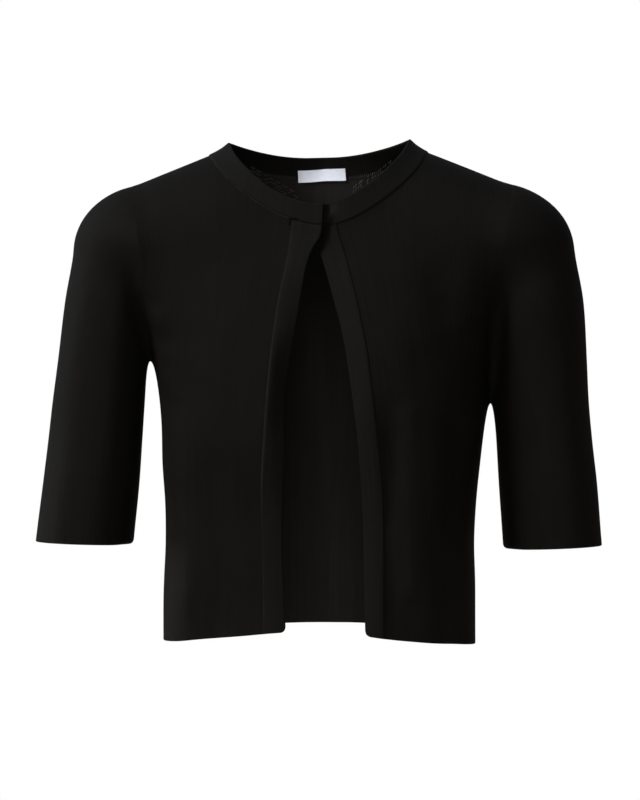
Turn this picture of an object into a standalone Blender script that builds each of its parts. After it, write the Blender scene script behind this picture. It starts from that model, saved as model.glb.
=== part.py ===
"""Cropped short-sleeve cardigan in a fine black knit, in the form it keeps when worn, with nobody in it.

Metres, +Z up, the front towards -Y and the wearer's left towards +X. The origin lies midway between the two
neck points, where the neckband's top edge crosses the shoulders, and the wearer's shoulders hold it there.

One smooth closed form stands for the worn cloth: its field is zero on the outer face of the panels and grows
outwards. The seams are curves on that form. Each panel is a patch between its seams, and the inside of its wall
is the patch moved in along the form's own normals, so that two panels which meet at a seam meet squarely.
"""

import bmesh
import bpy
import numpy as np

# Walls and gaps
PANEL_WALL = 0.0014
BAND_WALL = 0.0024
LABEL_WALL = 0.0005
SEAM_GAP = 0.0003

# The body inside the cloth, a row for each level: height, middle, half width, depth in front, depth behind
BODY_LEVELS = np.array([
    (-0.600, -0.0010, 0.1550, 0.098, 0.093),
    (-0.480, -0.0010, 0.1535, 0.100, 0.093),
    (-0.435, -0.0005, 0.1530, 0.102, 0.091),
    (-0.395, 0.0000, 0.1515, 0.104, 0.090),
    (-0.355, 0.0010, 0.1525, 0.107, 0.091),
    (-0.315, 0.0015, 0.1560, 0.110, 0.094),
    (-0.275, 0.0027, 0.1594, 0.113, 0.098),
    (-0.235, 0.0026, 0.1640, 0.112, 0.102),
    (-0.200, 0.0015, 0.1700, 0.108, 0.104),
    (-0.160, 0.0000, 0.1810, 0.100, 0.102),
    (-0.120, 0.0000, 0.1890, 0.089, 0.094),
    (-0.090, 0.0000, 0.1840, 0.077, 0.081),
    (-0.060, 0.0000, 0.1480, 0.059, 0.062),
    (-0.035, 0.0000, 0.0900, 0.035, 0.036),
    (-0.020, 0.0000, 0.0300, 0.010, 0.010),
])
BODY_SQUARENESS = 2.35
BODY_TOP = -0.020
BODY_BLEND = 0.045

# The shoulder slope, from the middle out to one side
YOKE_INNER = (0.0, 0.004, -0.0290)
YOKE_OUTER = (0.176, 0.004, -0.0885)
YOKE_RADII = (0.057, 0.046)
YOKE_DEPTH = 1.28
YOKE_LEFT_RISE = 0.0022

# The neck, which the neckband climbs a little way
NECK_LOW = (0.0, -0.006, -0.10)
NECK_HIGH = (0.0, -0.018, 0.10)
NECK_RADII = (0.0760, 0.0725)
NECK_DEPTH = 0.80
NECK_BLEND = 0.032

# Inside the sleeves, a row for each level: height, axis sideways, axis in depth, radius
SLEEVE_LEVELS = {
    "right": np.array([
        (-0.520, -0.2450, -0.0130, 0.0480),
        (-0.395, -0.2343, -0.0090, 0.0472),
        (-0.335, -0.2277, -0.0070, 0.0464),
        (-0.295, -0.2240, -0.0055, 0.0453),
        (-0.255, -0.2205, -0.0040, 0.0443),
        (-0.215, -0.2168, -0.0025, 0.0430),
        (-0.155, -0.2105, -0.0010, 0.0422),
        (-0.101, -0.2037, 0.0000, 0.0402),
        (-0.040, -0.2037, 0.0000, 0.0402),
    ]),
    "left": np.array([
        (-0.520, 0.2400, -0.0130, 0.0500),
        (-0.395, 0.2300, -0.0090, 0.0476),
        (-0.335, 0.2257, -0.0070, 0.0473),
        (-0.295, 0.2224, -0.0055, 0.0462),
        (-0.255, 0.2195, -0.0040, 0.0457),
        (-0.215, 0.2177, -0.0025, 0.0458),
        (-0.155, 0.2110, -0.0010, 0.0490),
        (-0.101, 0.2060, 0.0000, 0.0450),
        (-0.040, 0.2060, 0.0000, 0.0450),
    ]),
}
SLEEVE_TOP = {"right": -0.1035, "left": -0.1030}
SLEEVE_DEPTH = 1.10
SLEEVE_BLEND_LOW = {"right": 0.0125, "left": 0.0145}
SLEEVE_BLEND_HIGH = 0.030
SLEEVE_BLEND_FROM = -0.190
SLEEVE_BLEND_TO = -0.090

# Soft folds in the cloth, seen from in front: side of the form, ends across and up, half width, height
FOLDS = np.array([
    (-1, -0.100, -0.330, -0.096, -0.475, 0.024, -0.0035),
    (-1, -0.136, -0.450, -0.138, -0.485, 0.012, 0.0020),
    (-1, -0.140, -0.275, -0.134, -0.330, 0.012, 0.0015),
    (-1, 0.084, -0.270, 0.086, -0.440, 0.010, 0.0025),
    (-1, 0.067, -0.290, 0.067, -0.370, 0.008, -0.0015),
    (-1, 0.128, -0.285, 0.132, -0.490, 0.015, -0.0035),
    (-1, 0.112, -0.120, 0.128, -0.195, 0.026, -0.0030),
    (-1, -0.110, -0.125, -0.126, -0.190, 0.024, -0.0020),
    (-1, 0.074, -0.205, 0.070, -0.240, 0.022, 0.0020),
    (1, -0.085, -0.240, -0.078, -0.470, 0.020, -0.0030),
    (1, 0.092, -0.260, 0.080, -0.480, 0.022, -0.0035),
    (1, -0.010, -0.330, 0.004, -0.490, 0.018, 0.0020),
    (1, 0.118, -0.110, 0.132, -0.200, 0.022, -0.0025),
    (1, -0.118, -0.110, -0.130, -0.190, 0.022, -0.0025),
])

# Neck seam and top edge as rays from inside the neck: turn from the front, rise to the top edge, to the seam
NECK_CENTRE = np.array([0.0, -0.010, -0.12])
NECK_RAYS = np.array([
    (-180.0, 52.8, 46.0),
    (-160.0, 53.1, 45.6),
    (-140.0, 53.0, 44.6),
    (-120.0, 52.9, 44.3),
    (-100.0, 52.9, 44.2),
    (-80.0, 52.2, 43.4),
    (-60.0, 47.9, 37.9),
    (-40.0, 42.7, 32.3),
    (-20.0, 39.8, 28.3),
    (0.0, 38.9, 25.8),
    (20.0, 41.3, 28.0),
    (40.0, 45.2, 33.5),
    (60.0, 50.0, 39.5),
    (80.0, 54.0, 45.4),
    (100.0, 54.4, 46.0),
    (120.0, 54.2, 45.7),
    (140.0, 54.0, 44.8),
    (160.0, 53.6, 45.5),
    (180.0, 52.8, 46.0),
])
SHOULDER_TURN = 96.0

# Front edges seen from in front: height, the free edge across, the band's seam across
FRONT_EDGES = {
    "right": np.array([
        (-0.040, 0.0030, -0.0290),
        (-0.0645, 0.0030, -0.0290),
        (-0.0887, 0.0010, -0.0285),
        (-0.1003, -0.0050, -0.0295),
        (-0.1196, -0.0120, -0.0325),
        (-0.1487, -0.0180, -0.0392),
        (-0.1777, -0.0232, -0.0440),
        (-0.2163, -0.0300, -0.0490),
        (-0.2550, -0.0343, -0.0525),
        (-0.2937, -0.0355, -0.0550),
        (-0.3517, -0.0367, -0.0585),
        (-0.3807, -0.0369, -0.0585),
        (-0.4407, -0.0347, -0.0566),
        (-0.5200, -0.0325, -0.0570),
    ]),
    "left": np.array([
        (-0.040, -0.0090, 0.0140),
        (-0.0645, -0.0090, 0.0145),
        (-0.0887, -0.0080, 0.0175),
        (-0.1080, -0.0015, 0.0235),
        (-0.1293, 0.0053, 0.0290),
        (-0.1583, 0.0131, 0.0360),
        (-0.1777, 0.0185, 0.0400),
        (-0.2067, 0.0247, 0.0455),
        (-0.2357, 0.0292, 0.0493),
        (-0.2937, 0.0377, 0.0560),
        (-0.3517, 0.0421, 0.0612),
        (-0.3807, 0.0434, 0.0619),
        (-0.4400, 0.0440, 0.0619),
        (-0.5200, 0.0445, 0.0620),
    ]),
}

# Lower edge: distance across, height in front, height behind
HEM = np.array([
    (-0.158, -0.4925, -0.4925),
    (-0.150, -0.4917, -0.4915),
    (-0.110, -0.4866, -0.4870),
    (-0.080, -0.4836, -0.4845),
    (-0.035, -0.4800, -0.4825),
    (0.000, -0.4805, -0.4820),
    (0.045, -0.4835, -0.4825),
    (0.070, -0.4868, -0.4845),
    (0.095, -0.4895, -0.4870),
    (0.150, -0.4955, -0.4950),
    (0.158, -0.4965, -0.4965),
])

# Where the right front laps over the left at the neck, one side goes out and the other in
LAP_OUT = 0.0028
LAP_IN = 0.0018
LAP_LOW = -0.165
LAP_FULL = -0.115
LAP_FADE = 0.046
LAP_RIGHT_FROM = -0.060
LAP_LEFT_FROM = 0.054

# How far the front bands' free edges turn in: height, right band, left band
BAND_TURN = np.array([
    (-0.520, 0.006, 0.006),
    (-0.420, 0.008, 0.008),
    (-0.300, 0.010, 0.009),
    (-0.240, 0.012, 0.009),
    (-0.180, 0.007, 0.007),
    (-0.130, 0.002, 0.003),
    (-0.100, 0.000, 0.000),
    (-0.040, 0.000, 0.000),
])

# Armholes and cuffs: underarm across and up, shoulder tip across and up
ARMHOLES = {
    "right": ((-0.1690, -0.2130), (-0.1880, -0.0430)),
    "left": ((0.1690, -0.2570), (0.1900, -0.0430)),
}
CUFFS = {
    "right": ((-0.1860, -0.3975), (-0.2820, -0.3945)),
    "left": ((0.1820, -0.4020), (0.2800, -0.3985)),
}
ARMHOLE_DISH = 0.004
DISH_FADE = 0.22

# The armhole follows the crease under the arm up to the first height above the underarm, and leaves it by the
# second; this fades over a share of the sleeve's length
CREASE_FROM = 0.030
CREASE_TO = 0.085
CREASE_FADE = 0.35

# Counts of steps along the seams
SIDE_STEPS = 14
SIDE_CLOSING = 1.6
CLOSER_SHARE = 0.35
ARMHOLE_STEPS = 14
SLEEVE_STEPS = 20
SHOULDER_STEPS = 5
FRONT_NECK_STEPS = 9
BACK_NECK_STEPS = 16
BAND_STEPS = 3
NECKBAND_STEPS = 2

# The woven label inside the back of the neck: height of its middle, centre across, length, depth, tilt
LABEL_HEIGHT = -0.0283
LABEL_ACROSS = 0.0015
LABEL_LENGTH = 0.049
LABEL_DEPTH = 0.015
LABEL_TILT = 0.055
LABEL_CLEARANCE = 0.0009
LABEL_STEPS = (10, 4)

# The press stud between the lapped ends: place on the form, radii and thicknesses
STUD_ACROSS = -0.0035
STUD_HEIGHT = -0.0770
STUD_BASE_RADIUS = 0.0032
STUD_BALL_RADIUS = 0.0010
STUD_HOLE_RADIUS = 0.0014
STUD_BASE_WALL = 0.0005
STUD_BALL_HEIGHT = 0.0009
STUD_SOCKET_WALL = 0.0009
STUD_CLEARANCE = 0.0003
STUD_SIDES = 24


def between_rows(table, at):
    """The table's other columns at each value of its first one, on smooth curves through its rows."""
    table = table[np.argsort(table[:, 0])]
    keys, values = table[:, 0], table[:, 1:]
    at = np.clip(at, keys[0] + 1e-6, keys[-1] - 1e-6)
    low = np.clip(np.searchsorted(keys, at, side="right") - 1, 0, len(keys) - 2)
    step = (keys[low + 1] - keys[low])[..., None]
    t = (at - keys[low])[..., None] / step
    slopes = np.gradient(values, keys, axis=0)
    return (
        (2 * t**3 - 3 * t**2 + 1) * values[low]
        + (t**3 - 2 * t**2 + t) * step * slopes[low]
        + (3 * t**2 - 2 * t**3) * values[low + 1]
        + (t**3 - t**2) * step * slopes[low + 1]
    )


def smooth_step(t):
    t = np.clip(t, 0.0, 1.0)
    return t * t * (3 - 2 * t)


def smooth_union(a, b, blend):
    share = np.clip(0.5 + 0.5 * (b - a) / blend, 0, 1)
    return b + (a - b) * share - blend * share * (1 - share)


def limb(points, start, end, radii, depth):
    """Distance outside a tapering round limb, whose depth along Y is its radius times depth."""
    squeeze = np.array([1.0, 1.0 / depth, 1.0])
    start, end, points = np.array(start) * squeeze, np.array(end) * squeeze, points * squeeze
    along = end - start
    t = np.clip((points - start) @ along / (along @ along), 0, 1)
    reach = np.linalg.norm(points - start - t[..., None] * along, axis=-1)
    return reach - (radii[0] + t * (radii[1] - radii[0]))


def body_field(points):
    middle, half, front, behind = np.moveaxis(between_rows(BODY_LEVELS, points[..., 2]), -1, 0)
    depth = np.where(points[..., 1] < 0, front, behind)
    across = np.abs(points[..., 0] - middle) + 1e-9
    deep = np.abs(points[..., 1]) + 1e-9
    share = ((across / half) ** BODY_SQUARENESS + (deep / depth) ** BODY_SQUARENESS) ** (1 / BODY_SQUARENESS)
    reach = np.hypot(across, deep)
    above = points[..., 2] - BODY_TOP
    return np.where(above < 0, reach - reach / share, np.hypot(reach, above))


def sleeve_field(points, name):
    across, deep, radius = np.moveaxis(between_rows(SLEEVE_LEVELS[name], points[..., 2]), -1, 0)
    above = np.maximum(points[..., 2] - SLEEVE_TOP[name], 0)
    out = np.sqrt((points[..., 0] - across) ** 2 + ((points[..., 1] - deep) / SLEEVE_DEPTH) ** 2 + above**2)
    return out - radius


def fold_height(points):
    """How far the folds lift the cloth, from a soft-ended ridge or trough for each row."""
    height = np.zeros(points.shape[:-1])
    seen = points[..., [0, 2]]
    for side, x0, z0, x1, z1, half, rise in FOLDS:
        start, along = np.array([x0, z0]), np.array([x1 - x0, z1 - z0])
        t = np.clip((seen - start) @ along / (along @ along), 0, 1)
        away = np.linalg.norm(seen - start - t[..., None] * along, axis=-1)
        height += rise * np.exp(-((away / half) ** 2)) * smooth_step(side * points[..., 1] / 0.03)
    return height


def trunk_field(points):
    """Distance outside the body with its shoulders and neck, without the sleeves."""
    rise = YOKE_LEFT_RISE * smooth_step(points[..., 0] / YOKE_OUTER[0])
    mirrored = np.stack([np.abs(points[..., 0]), points[..., 1], points[..., 2] - rise], axis=-1)
    yoke = limb(mirrored, YOKE_INNER, YOKE_OUTER, YOKE_RADII, YOKE_DEPTH)
    neck = limb(points, NECK_LOW, NECK_HIGH, NECK_RADII, NECK_DEPTH)
    return smooth_union(smooth_union(body_field(points), yoke, BODY_BLEND), neck, NECK_BLEND)


def field(points):
    """Distance outside the outer face of the panels, negative inside."""
    out = trunk_field(points)
    rise = (points[..., 2] - SLEEVE_BLEND_FROM) / (SLEEVE_BLEND_TO - SLEEVE_BLEND_FROM)
    for name in SLEEVE_LEVELS:
        low = SLEEVE_BLEND_LOW[name]
        blend = low + (SLEEVE_BLEND_HIGH - low) * smooth_step(rise)
        out = smooth_union(out, sleeve_field(points, name), blend)
    return out - fold_height(points) - PANEL_WALL


def slope(points, of=field, step=2e-5):
    """The field's rate of change along X, Y and Z."""
    rates = [(of(points + move) - of(points - move)) / (2 * step) for move in np.eye(3) * step]
    return np.stack(rates, axis=-1)


def outward(points):
    rate = slope(points)
    return rate / np.linalg.norm(rate, axis=-1, keepdims=True)


def onto_form(points, rounds=4):
    for _ in range(rounds):
        rate = slope(points)
        share = field(points) / np.maximum((rate**2).sum(-1), 0.05)
        points = points - np.clip(share, -0.02, 0.02)[..., None] * rate
    return points


def leave_form(starts, directions, reach):
    """Where rays that start inside the form first get out of it."""
    near = np.zeros(directions.shape[:-1])
    far = near + reach
    for _ in range(36):
        middle = (near + far) / 2
        inside = field(starts + middle[..., None] * directions) < 0
        near, far = np.where(inside, middle, near), np.where(inside, far, middle)
    return starts + far[..., None] * directions


def spaced(curve, steps, shares=None):
    """The curve with this many even steps, or with points at these shares of its length."""
    lengths = np.concatenate([[0], np.cumsum(np.linalg.norm(np.diff(curve, axis=0), axis=1))])
    at = np.linspace(0, 1, steps + 1) if shares is None else shares
    return np.stack([np.interp(at * lengths[-1], lengths, curve[:, axis]) for axis in range(3)], axis=-1)


def neck_ring(turns, column):
    """Points of the neck's top edge (column 0) or its seam (column 1), for turns from the front in degrees."""
    wrapped = (turns + 180) % 360 - 180
    rise = np.radians(between_rows(NECK_RAYS, wrapped)[..., column])
    turn = np.radians(wrapped)
    away = np.stack([np.sin(turn) * np.cos(rise), -np.cos(turn) * np.cos(rise), np.sin(rise)], axis=-1)
    return leave_form(NECK_CENTRE + 0 * away, away, 0.16)


def front_edge(name, column, heights):
    """Points in front at these heights, on the free edge (column 0) or the band's seam (column 1)."""
    across = between_rows(FRONT_EDGES[name], heights)[..., column]
    starts = np.stack([across, 0 * across, heights], axis=-1)
    return leave_form(starts, np.broadcast_to([0.0, -1.0, 0.0], starts.shape), 0.16)


def hem_height(across, behind):
    return between_rows(HEM, across)[..., 1 if behind else 0]


def hem_curve(turns, behind):
    """The lower edge at these turns from the front, in degrees."""
    turn = np.radians(turns)
    away = np.stack([np.sin(turn), -np.cos(turn), 0 * turn], axis=-1)
    heights = np.full(len(turns), -0.488)
    for _ in range(3):
        starts = np.stack([0 * turn, 0 * turn, heights], axis=-1)
        points = leave_form(starts, away, 0.178)
        heights = hem_height(points[:, 0], behind)
    points[:, 2] = heights
    return points


def lap_lift(points, name):
    """How far the cloth of one front is moved out, or in, where the two fronts lap."""
    high = smooth_step((points[..., 2] - LAP_LOW) / (LAP_FULL - LAP_LOW))
    front = smooth_step(-points[..., 1] / 0.03)
    if name == "right":
        return LAP_OUT * high * front * smooth_step((points[..., 0] - LAP_RIGHT_FROM) / LAP_FADE)
    return -LAP_IN * high * front * smooth_step((LAP_LEFT_FROM - points[..., 0]) / LAP_FADE)


def patch(bottom, top, start, end, rounds=60):
    """A grid of rows on the form, between a lower and an upper seam and two side seams."""
    across = np.linspace(0, 1, len(bottom))[None, :, None]
    up = np.linspace(0, 1, len(start))[:, None, None]
    grid = (1 - up) * bottom + up * top + (1 - across) * start[:, None] + across * end[:, None]
    grid -= (1 - up) * ((1 - across) * bottom[0] + across * bottom[-1])
    grid -= up * ((1 - across) * top[0] + across * top[-1])
    for _ in range(rounds):
        inner = (grid[2:, 1:-1] + grid[:-2, 1:-1] + grid[1:-1, 2:] + grid[1:-1, :-2]) / 4
        grid[1:-1, 1:-1] = onto_form(inner, 1)
    grid[1:-1, 1:-1] = onto_form(grid[1:-1, 1:-1])
    return grid


def closer_column(grid, last):
    """The grid with one more column beside its last one, or beside its first, where the crease is tight."""
    edge, beside = (grid[:, -1], grid[:, -2]) if last else (grid[:, 0], grid[:, 1])
    return np.insert(grid, -1 if last else 1, onto_form(edge + CLOSER_SHARE * (beside - edge)), axis=1)


def neck_turn(name, column, edge):
    """The turn where the neck's top edge (0) or seam (1) meets a front's free edge (0) or band seam (1)."""
    turns = np.linspace(-40, 40, 321)
    points = neck_ring(turns, column)
    beyond = points[:, 0] - between_rows(FRONT_EDGES[name], points[:, 2])[:, edge]
    return np.interp(0.0, beyond, turns)


def sleeve_rings(name, shares, turns):
    """Rings round the sleeve, from the armhole (0) to the cuff (1); each turns from underarm to front."""
    shares = np.asarray(shares, float)[:, None, None]
    side = np.sign(ARMHOLES[name][0][0])
    (low_x, low_z), (high_x, high_z) = ARMHOLES[name]
    (in_x, in_z), (out_x, out_z) = CUFFS[name]
    armhole_lean = np.arctan2(high_z - low_z, side * (high_x - low_x))
    cuff_lean = np.arctan2(out_z - in_z, side * (out_x - in_x))
    lean = armhole_lean + (cuff_lean - armhole_lean) * shares
    armhole_half = np.hypot(high_x - low_x, high_z - low_z) / 2
    cuff_half = np.hypot(out_x - in_x, out_z - in_z) / 2
    half = armhole_half + (cuff_half - armhole_half) * shares
    up = np.concatenate([side * np.cos(lean), 0 * lean, np.sin(lean)], axis=-1)
    underarm, cuff = np.array([low_x, 0.0, low_z]), np.array([in_x, 0.0, in_z])
    dish = ARMHOLE_DISH * smooth_step(1 - shares / DISH_FADE)
    aside = np.sin(turns)[:, None]
    away = aside * [0.0, -0.050, 0.0] - np.cos(turns)[:, None] * half * up
    away /= np.linalg.norm(away, axis=-1, keepdims=True)
    starts = underarm + (cuff - underarm) * shares + half * up - side * dish * aside**2 * [1.0, 0.0, 0.0]
    rings = leave_form(starts, away, 0.115)
    near = smooth_step((CREASE_TO - (rings[0, :, 2:] - low_z)) / (CREASE_TO - CREASE_FROM))
    drawn = (into_crease(rings[0], name) - rings[0]) * near
    return onto_form(rings + drawn * smooth_step(1 - shares / CREASE_FADE))


def into_crease(points, name):
    """Points of the form moved along it into the crease where the sleeve and the body meet."""

    def split(places):
        return trunk_field(places) - sleeve_field(places, name)

    for _ in range(8):
        rate = slope(points, split)
        points = points - np.clip(split(points) / (rate**2).sum(-1), -0.004, 0.004)[..., None] * rate
        points = onto_form(points, 2)
    return points


def side_seam(name, top):
    """The side seam from the hem up to this point of the armhole."""
    side = np.sign(top[0])
    low = hem_height(np.array(side * 0.156), False)
    heights = top[2] + (low - top[2]) * np.linspace(1, 0, SIDE_STEPS + 1)[:-1] ** SIDE_CLOSING
    levels = between_rows(BODY_LEVELS, heights)
    starts = np.stack([0 * heights, 0 * heights, heights], axis=-1)
    away = np.broadcast_to([side, 0.0, 0.0], starts.shape)
    return np.concatenate([leave_form(starts, away, side * levels[:, 0] + levels[:, 1] + 0.004), top[None]])


def shoulder_seam(neck, tip):
    """The shoulder seam from the neck seam out to the tip, along the ridge of the shoulder."""
    shares = np.linspace(0, 1, SHOULDER_STEPS + 1)[:, None]
    line = neck + (tip - neck) * shares
    starts = line - [0.0, 0.0, 0.03]
    rising = leave_form(starts[1:-1], np.broadcast_to([0.0, 0.0, 1.0], starts[1:-1].shape), 0.08)
    return np.concatenate([neck[None], rising, tip[None]])


def band_seam(name):
    """The seam of a front band from the hem to the neck seam."""
    top = neck_ring(np.array([neck_turn(name, 1, 1)]), 1)
    bottom = hem_height(between_rows(FRONT_EDGES[name], np.array([-0.48]))[0, 1], False)
    curve = front_edge(name, 1, np.linspace(bottom, top[0, 2], 200))
    shares = np.concatenate([
        np.linspace(0, 0.58, SIDE_STEPS + 1),
        np.linspace(0.58, 1, ARMHOLE_STEPS + 1)[1:],
    ])
    return spaced(curve, None, shares)


def front_neck(name):
    """Turns of the neck seam's points on a front: over the band, then on to the shoulder."""
    side = -1 if name == "right" else 1
    over_band = np.linspace(neck_turn(name, 1, 0), neck_turn(name, 1, 1), BAND_STEPS + 1)
    to_shoulder = np.linspace(over_band[-1], side * SHOULDER_TURN, FRONT_NECK_STEPS + 1)
    return over_band, to_shoulder


def perpendicular(toward, along):
    along = along / np.linalg.norm(along, axis=-1, keepdims=True)
    toward = toward - (toward * along).sum(-1, keepdims=True) * along
    return toward / np.linalg.norm(toward, axis=-1, keepdims=True)


def drawn_in(grid, sides):
    """The grid with each named edge moved inwards by half of a seam's gap."""
    half = SEAM_GAP / 2
    moved = grid.copy()
    if "bottom" in sides:
        moved[0] += half * perpendicular(grid[1] - grid[0], np.gradient(grid[0], axis=0))
    if "top" in sides:
        moved[-1] += half * perpendicular(grid[-2] - grid[-1], np.gradient(grid[-1], axis=0))
    if "start" in sides:
        moved[:, 0] += half * perpendicular(grid[:, 1] - grid[:, 0], np.gradient(grid[:, 0], axis=0))
    if "end" in sides:
        moved[:, -1] += half * perpendicular(grid[:, -2] - grid[:, -1], np.gradient(grid[:, -1], axis=0))
    return moved


# Building the solids
def clear_scene():
    for item in list(bpy.data.objects):
        bpy.data.objects.remove(item)


def plain_material(name, rgb, roughness):
    material = bpy.data.materials.new(name)
    material.use_nodes = True
    shader = material.node_tree.nodes["Principled BSDF"]
    shader.inputs["Base Color"].default_value = (*rgb, 1.0)
    shader.inputs["Roughness"].default_value = roughness
    return material


def add_solid(collection, name, vertices, faces, material):
    mesh = bpy.data.meshes.new(name)
    mesh.from_pydata([tuple(map(float, v)) for v in vertices], [], faces)
    shape = bmesh.new()
    shape.from_mesh(mesh)
    bmesh.ops.recalc_face_normals(shape, faces=shape.faces)
    shape.to_mesh(mesh)
    shape.free()
    mesh.materials.append(material)
    item = bpy.data.objects.new(name, mesh)
    collection.objects.link(item)
    return item


def add_wall(collection, name, inner, outer, ring, material):
    """A closed wall between two grids of rows; a ring's rows close on themselves."""
    rows, columns = inner.shape[:2]
    count = rows * columns
    spans = columns if ring else columns - 1

    def at(row, column, side):
        return side * count + row * columns + column % columns

    faces = []
    for row in range(rows - 1):
        for column in range(spans):
            quad = [(row, column), (row, column + 1), (row + 1, column + 1), (row + 1, column)]
            faces.append([at(*corner, 1) for corner in quad])
            faces.append([at(*corner, 0) for corner in reversed(quad)])
    for column in range(spans):
        for row, first, second in ((0, column + 1, column), (rows - 1, column, column + 1)):
            faces.append([at(row, first, 1), at(row, second, 1), at(row, second, 0), at(row, first, 0)])
    if not ring:
        for row in range(rows - 1):
            for column, first, second in ((0, row, row + 1), (columns - 1, row + 1, row)):
                faces.append([
                    at(first, column, 1), at(second, column, 1), at(second, column, 0), at(first, column, 0),
                ])
    vertices = np.concatenate([inner.reshape(-1, 3), outer.reshape(-1, 3)])
    return add_solid(collection, name, vertices, faces, material)


def add_cloth(collection, name, grid, normals, wall, ring=False):
    """A knitted piece, from a grid on the panels' outer face; a thicker wall stands out from that face."""
    inner = grid - PANEL_WALL * normals
    knit = plain_material(f"{name}_knit", (0.011, 0.011, 0.012), 0.9)
    return add_wall(collection, name, inner, inner + wall * normals, ring, knit)


def grid_normals(grid):
    """Normals of a grid of rows, from its own neighbours."""
    normal = np.cross(np.gradient(grid, axis=1), np.gradient(grid, axis=0))
    return normal / np.linalg.norm(normal, axis=-1, keepdims=True)


def front_panel(name, armhole, shoulder, seam):
    side = np.sign(armhole[0, 0])
    start_turn = np.degrees(np.arctan2(abs(seam[0, 0]), -seam[0, 1]))
    hem = hem_curve(side * np.linspace(start_turn, 90.0, 120), False)
    bottom = spaced(np.concatenate([seam[:1], hem[1:]]), FRONT_NECK_STEPS + SHOULDER_STEPS)
    top = np.concatenate([neck_ring(front_neck(name)[1], 1), shoulder[1:]])
    end = np.concatenate([side_seam(name, armhole[0]), armhole[1:]])
    start = seam.copy()
    start[-1] = top[0]
    end[0] = bottom[-1]
    grid = closer_column(patch(bottom, top, start, end), True)
    grid = drawn_in(grid, ("top", "start", "end"))
    normals = outward(grid)
    return grid + lap_lift(grid, name)[..., None] * normals, normals


def back_panel(armholes, shoulders):
    steps = BACK_NECK_STEPS + 2 * SHOULDER_STEPS
    turns = -90.0 - np.linspace(0.0, 180.0, 240)
    bottom = spaced(hem_curve(turns, True), steps)
    neck = neck_ring(np.linspace(-SHOULDER_TURN, SHOULDER_TURN - 360.0, BACK_NECK_STEPS + 1), 1)
    top = np.concatenate([shoulders["right"][::-1], neck[1:-1], shoulders["left"]])
    edges = []
    for name, corner in (("right", bottom[0]), ("left", bottom[-1])):
        edge = np.concatenate([side_seam(name, armholes[name][0]), armholes[name][1:]])
        edge[0] = corner
        edges.append(edge)
    grid = closer_column(closer_column(patch(bottom, top, *edges), True), False)
    return drawn_in(grid, ("top", "start", "end"))


def band(name, seam):
    """A front band as a grid from its seam to its free edge; rows as on the seam."""
    over_band = front_neck(name)[0]
    top = neck_ring(over_band[::-1], 1)
    free = between_rows(FRONT_EDGES[name], seam[:, 2])[:, 0]
    shares = np.linspace(0, 1, BAND_STEPS + 1)
    across = seam[:, None, 0] + (free - seam[:, 0])[:, None] * shares
    across[-1] = top[:, 0]
    heights = np.repeat(seam[:, None, 2], BAND_STEPS + 1, axis=1)
    rows = np.arange(len(seam))[:, None]
    heights += (top[:, 2] - top[0, 2]) * smooth_step(1 - (len(seam) - 1 - rows) / 4)
    heights += (hem_height(across[0], False) - seam[0, 2]) * smooth_step(1 - rows / 3)
    starts = np.stack([across, 0 * across, heights], axis=-1)
    grid = leave_form(starts, np.broadcast_to([0.0, -1.0, 0.0], starts.shape), 0.16)
    grid[:, 0], grid[-1] = seam, top
    grid = drawn_in(grid, ("top", "start"))
    turn = between_rows(BAND_TURN, grid[..., 2])[..., 0 if name == "right" else 1] * shares**1.5
    normals = outward(grid)
    grid = grid + (lap_lift(grid, name) - turn)[..., None] * normals
    own = grid_normals(grid)
    own *= np.sign((own * normals).sum(-1, keepdims=True))
    normals[:, 1:] = own[:, 1:]
    return grid, normals


def neckband():
    """The neckband as a grid from its seam to its top edge, from the right end round the back to the left."""
    right_band, right_front = front_neck("right")
    left_band, left_front = front_neck("left")
    back = np.linspace(-SHOULDER_TURN, SHOULDER_TURN - 360.0, BACK_NECK_STEPS + 1)
    turns = np.concatenate([
        right_band, right_front[1:], back[1:], left_front[-2::-1] - 360.0, left_band[-2::-1] - 360.0,
    ])
    right_more = neck_turn("right", 0, 0) - turns[0]
    left_more = neck_turn("left", 0, 0) - 360.0 - turns[-1]
    top_turns = turns + right_more * smooth_step(1 - (turns[0] - turns) / 25)
    top_turns += left_more * smooth_step(1 - (turns - turns[-1]) / 25)
    seam, top = neck_ring(turns, 1), neck_ring(top_turns, 0)
    shares = np.linspace(0, 1, NECKBAND_STEPS + 1)[:, None, None]
    grid = seam + (top - seam) * shares
    grid[1:-1] = onto_form(grid[1:-1])
    grid = drawn_in(grid, ("bottom",))
    normals = outward(grid)
    lift = np.where(turns > -180, lap_lift(grid, "right"), lap_lift(grid, "left"))
    return grid + lift[..., None] * normals, normals


def label_grid():
    across = np.linspace(-0.5, 0.5, LABEL_STEPS[0] + 1) * LABEL_LENGTH
    up = np.linspace(-0.5, 0.5, LABEL_STEPS[1] + 1)[:, None] * LABEL_DEPTH
    places = np.stack(
        np.broadcast_arrays(
            LABEL_ACROSS + across - up * LABEL_TILT, 0.0, LABEL_HEIGHT + up + across * LABEL_TILT
        ),
        axis=-1,
    )
    grid = leave_form(places, np.broadcast_to([0.0, 1.0, 0.0], places.shape), 0.13)
    return grid, outward(grid)


def turned(profile, origin, axis, sides):
    """Rings of points turned about an axis: one ring for each (radius, distance along the axis)."""
    first = np.cross(axis, [0.0, 0.0, 1.0])
    first /= np.linalg.norm(first)
    second = np.cross(axis, first)
    angles = np.linspace(0, 2 * np.pi, sides, endpoint=False)
    round_it = np.cos(angles)[:, None] * first + np.sin(angles)[:, None] * second
    return np.stack([origin + radius * round_it + along * axis for radius, along in profile])


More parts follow.
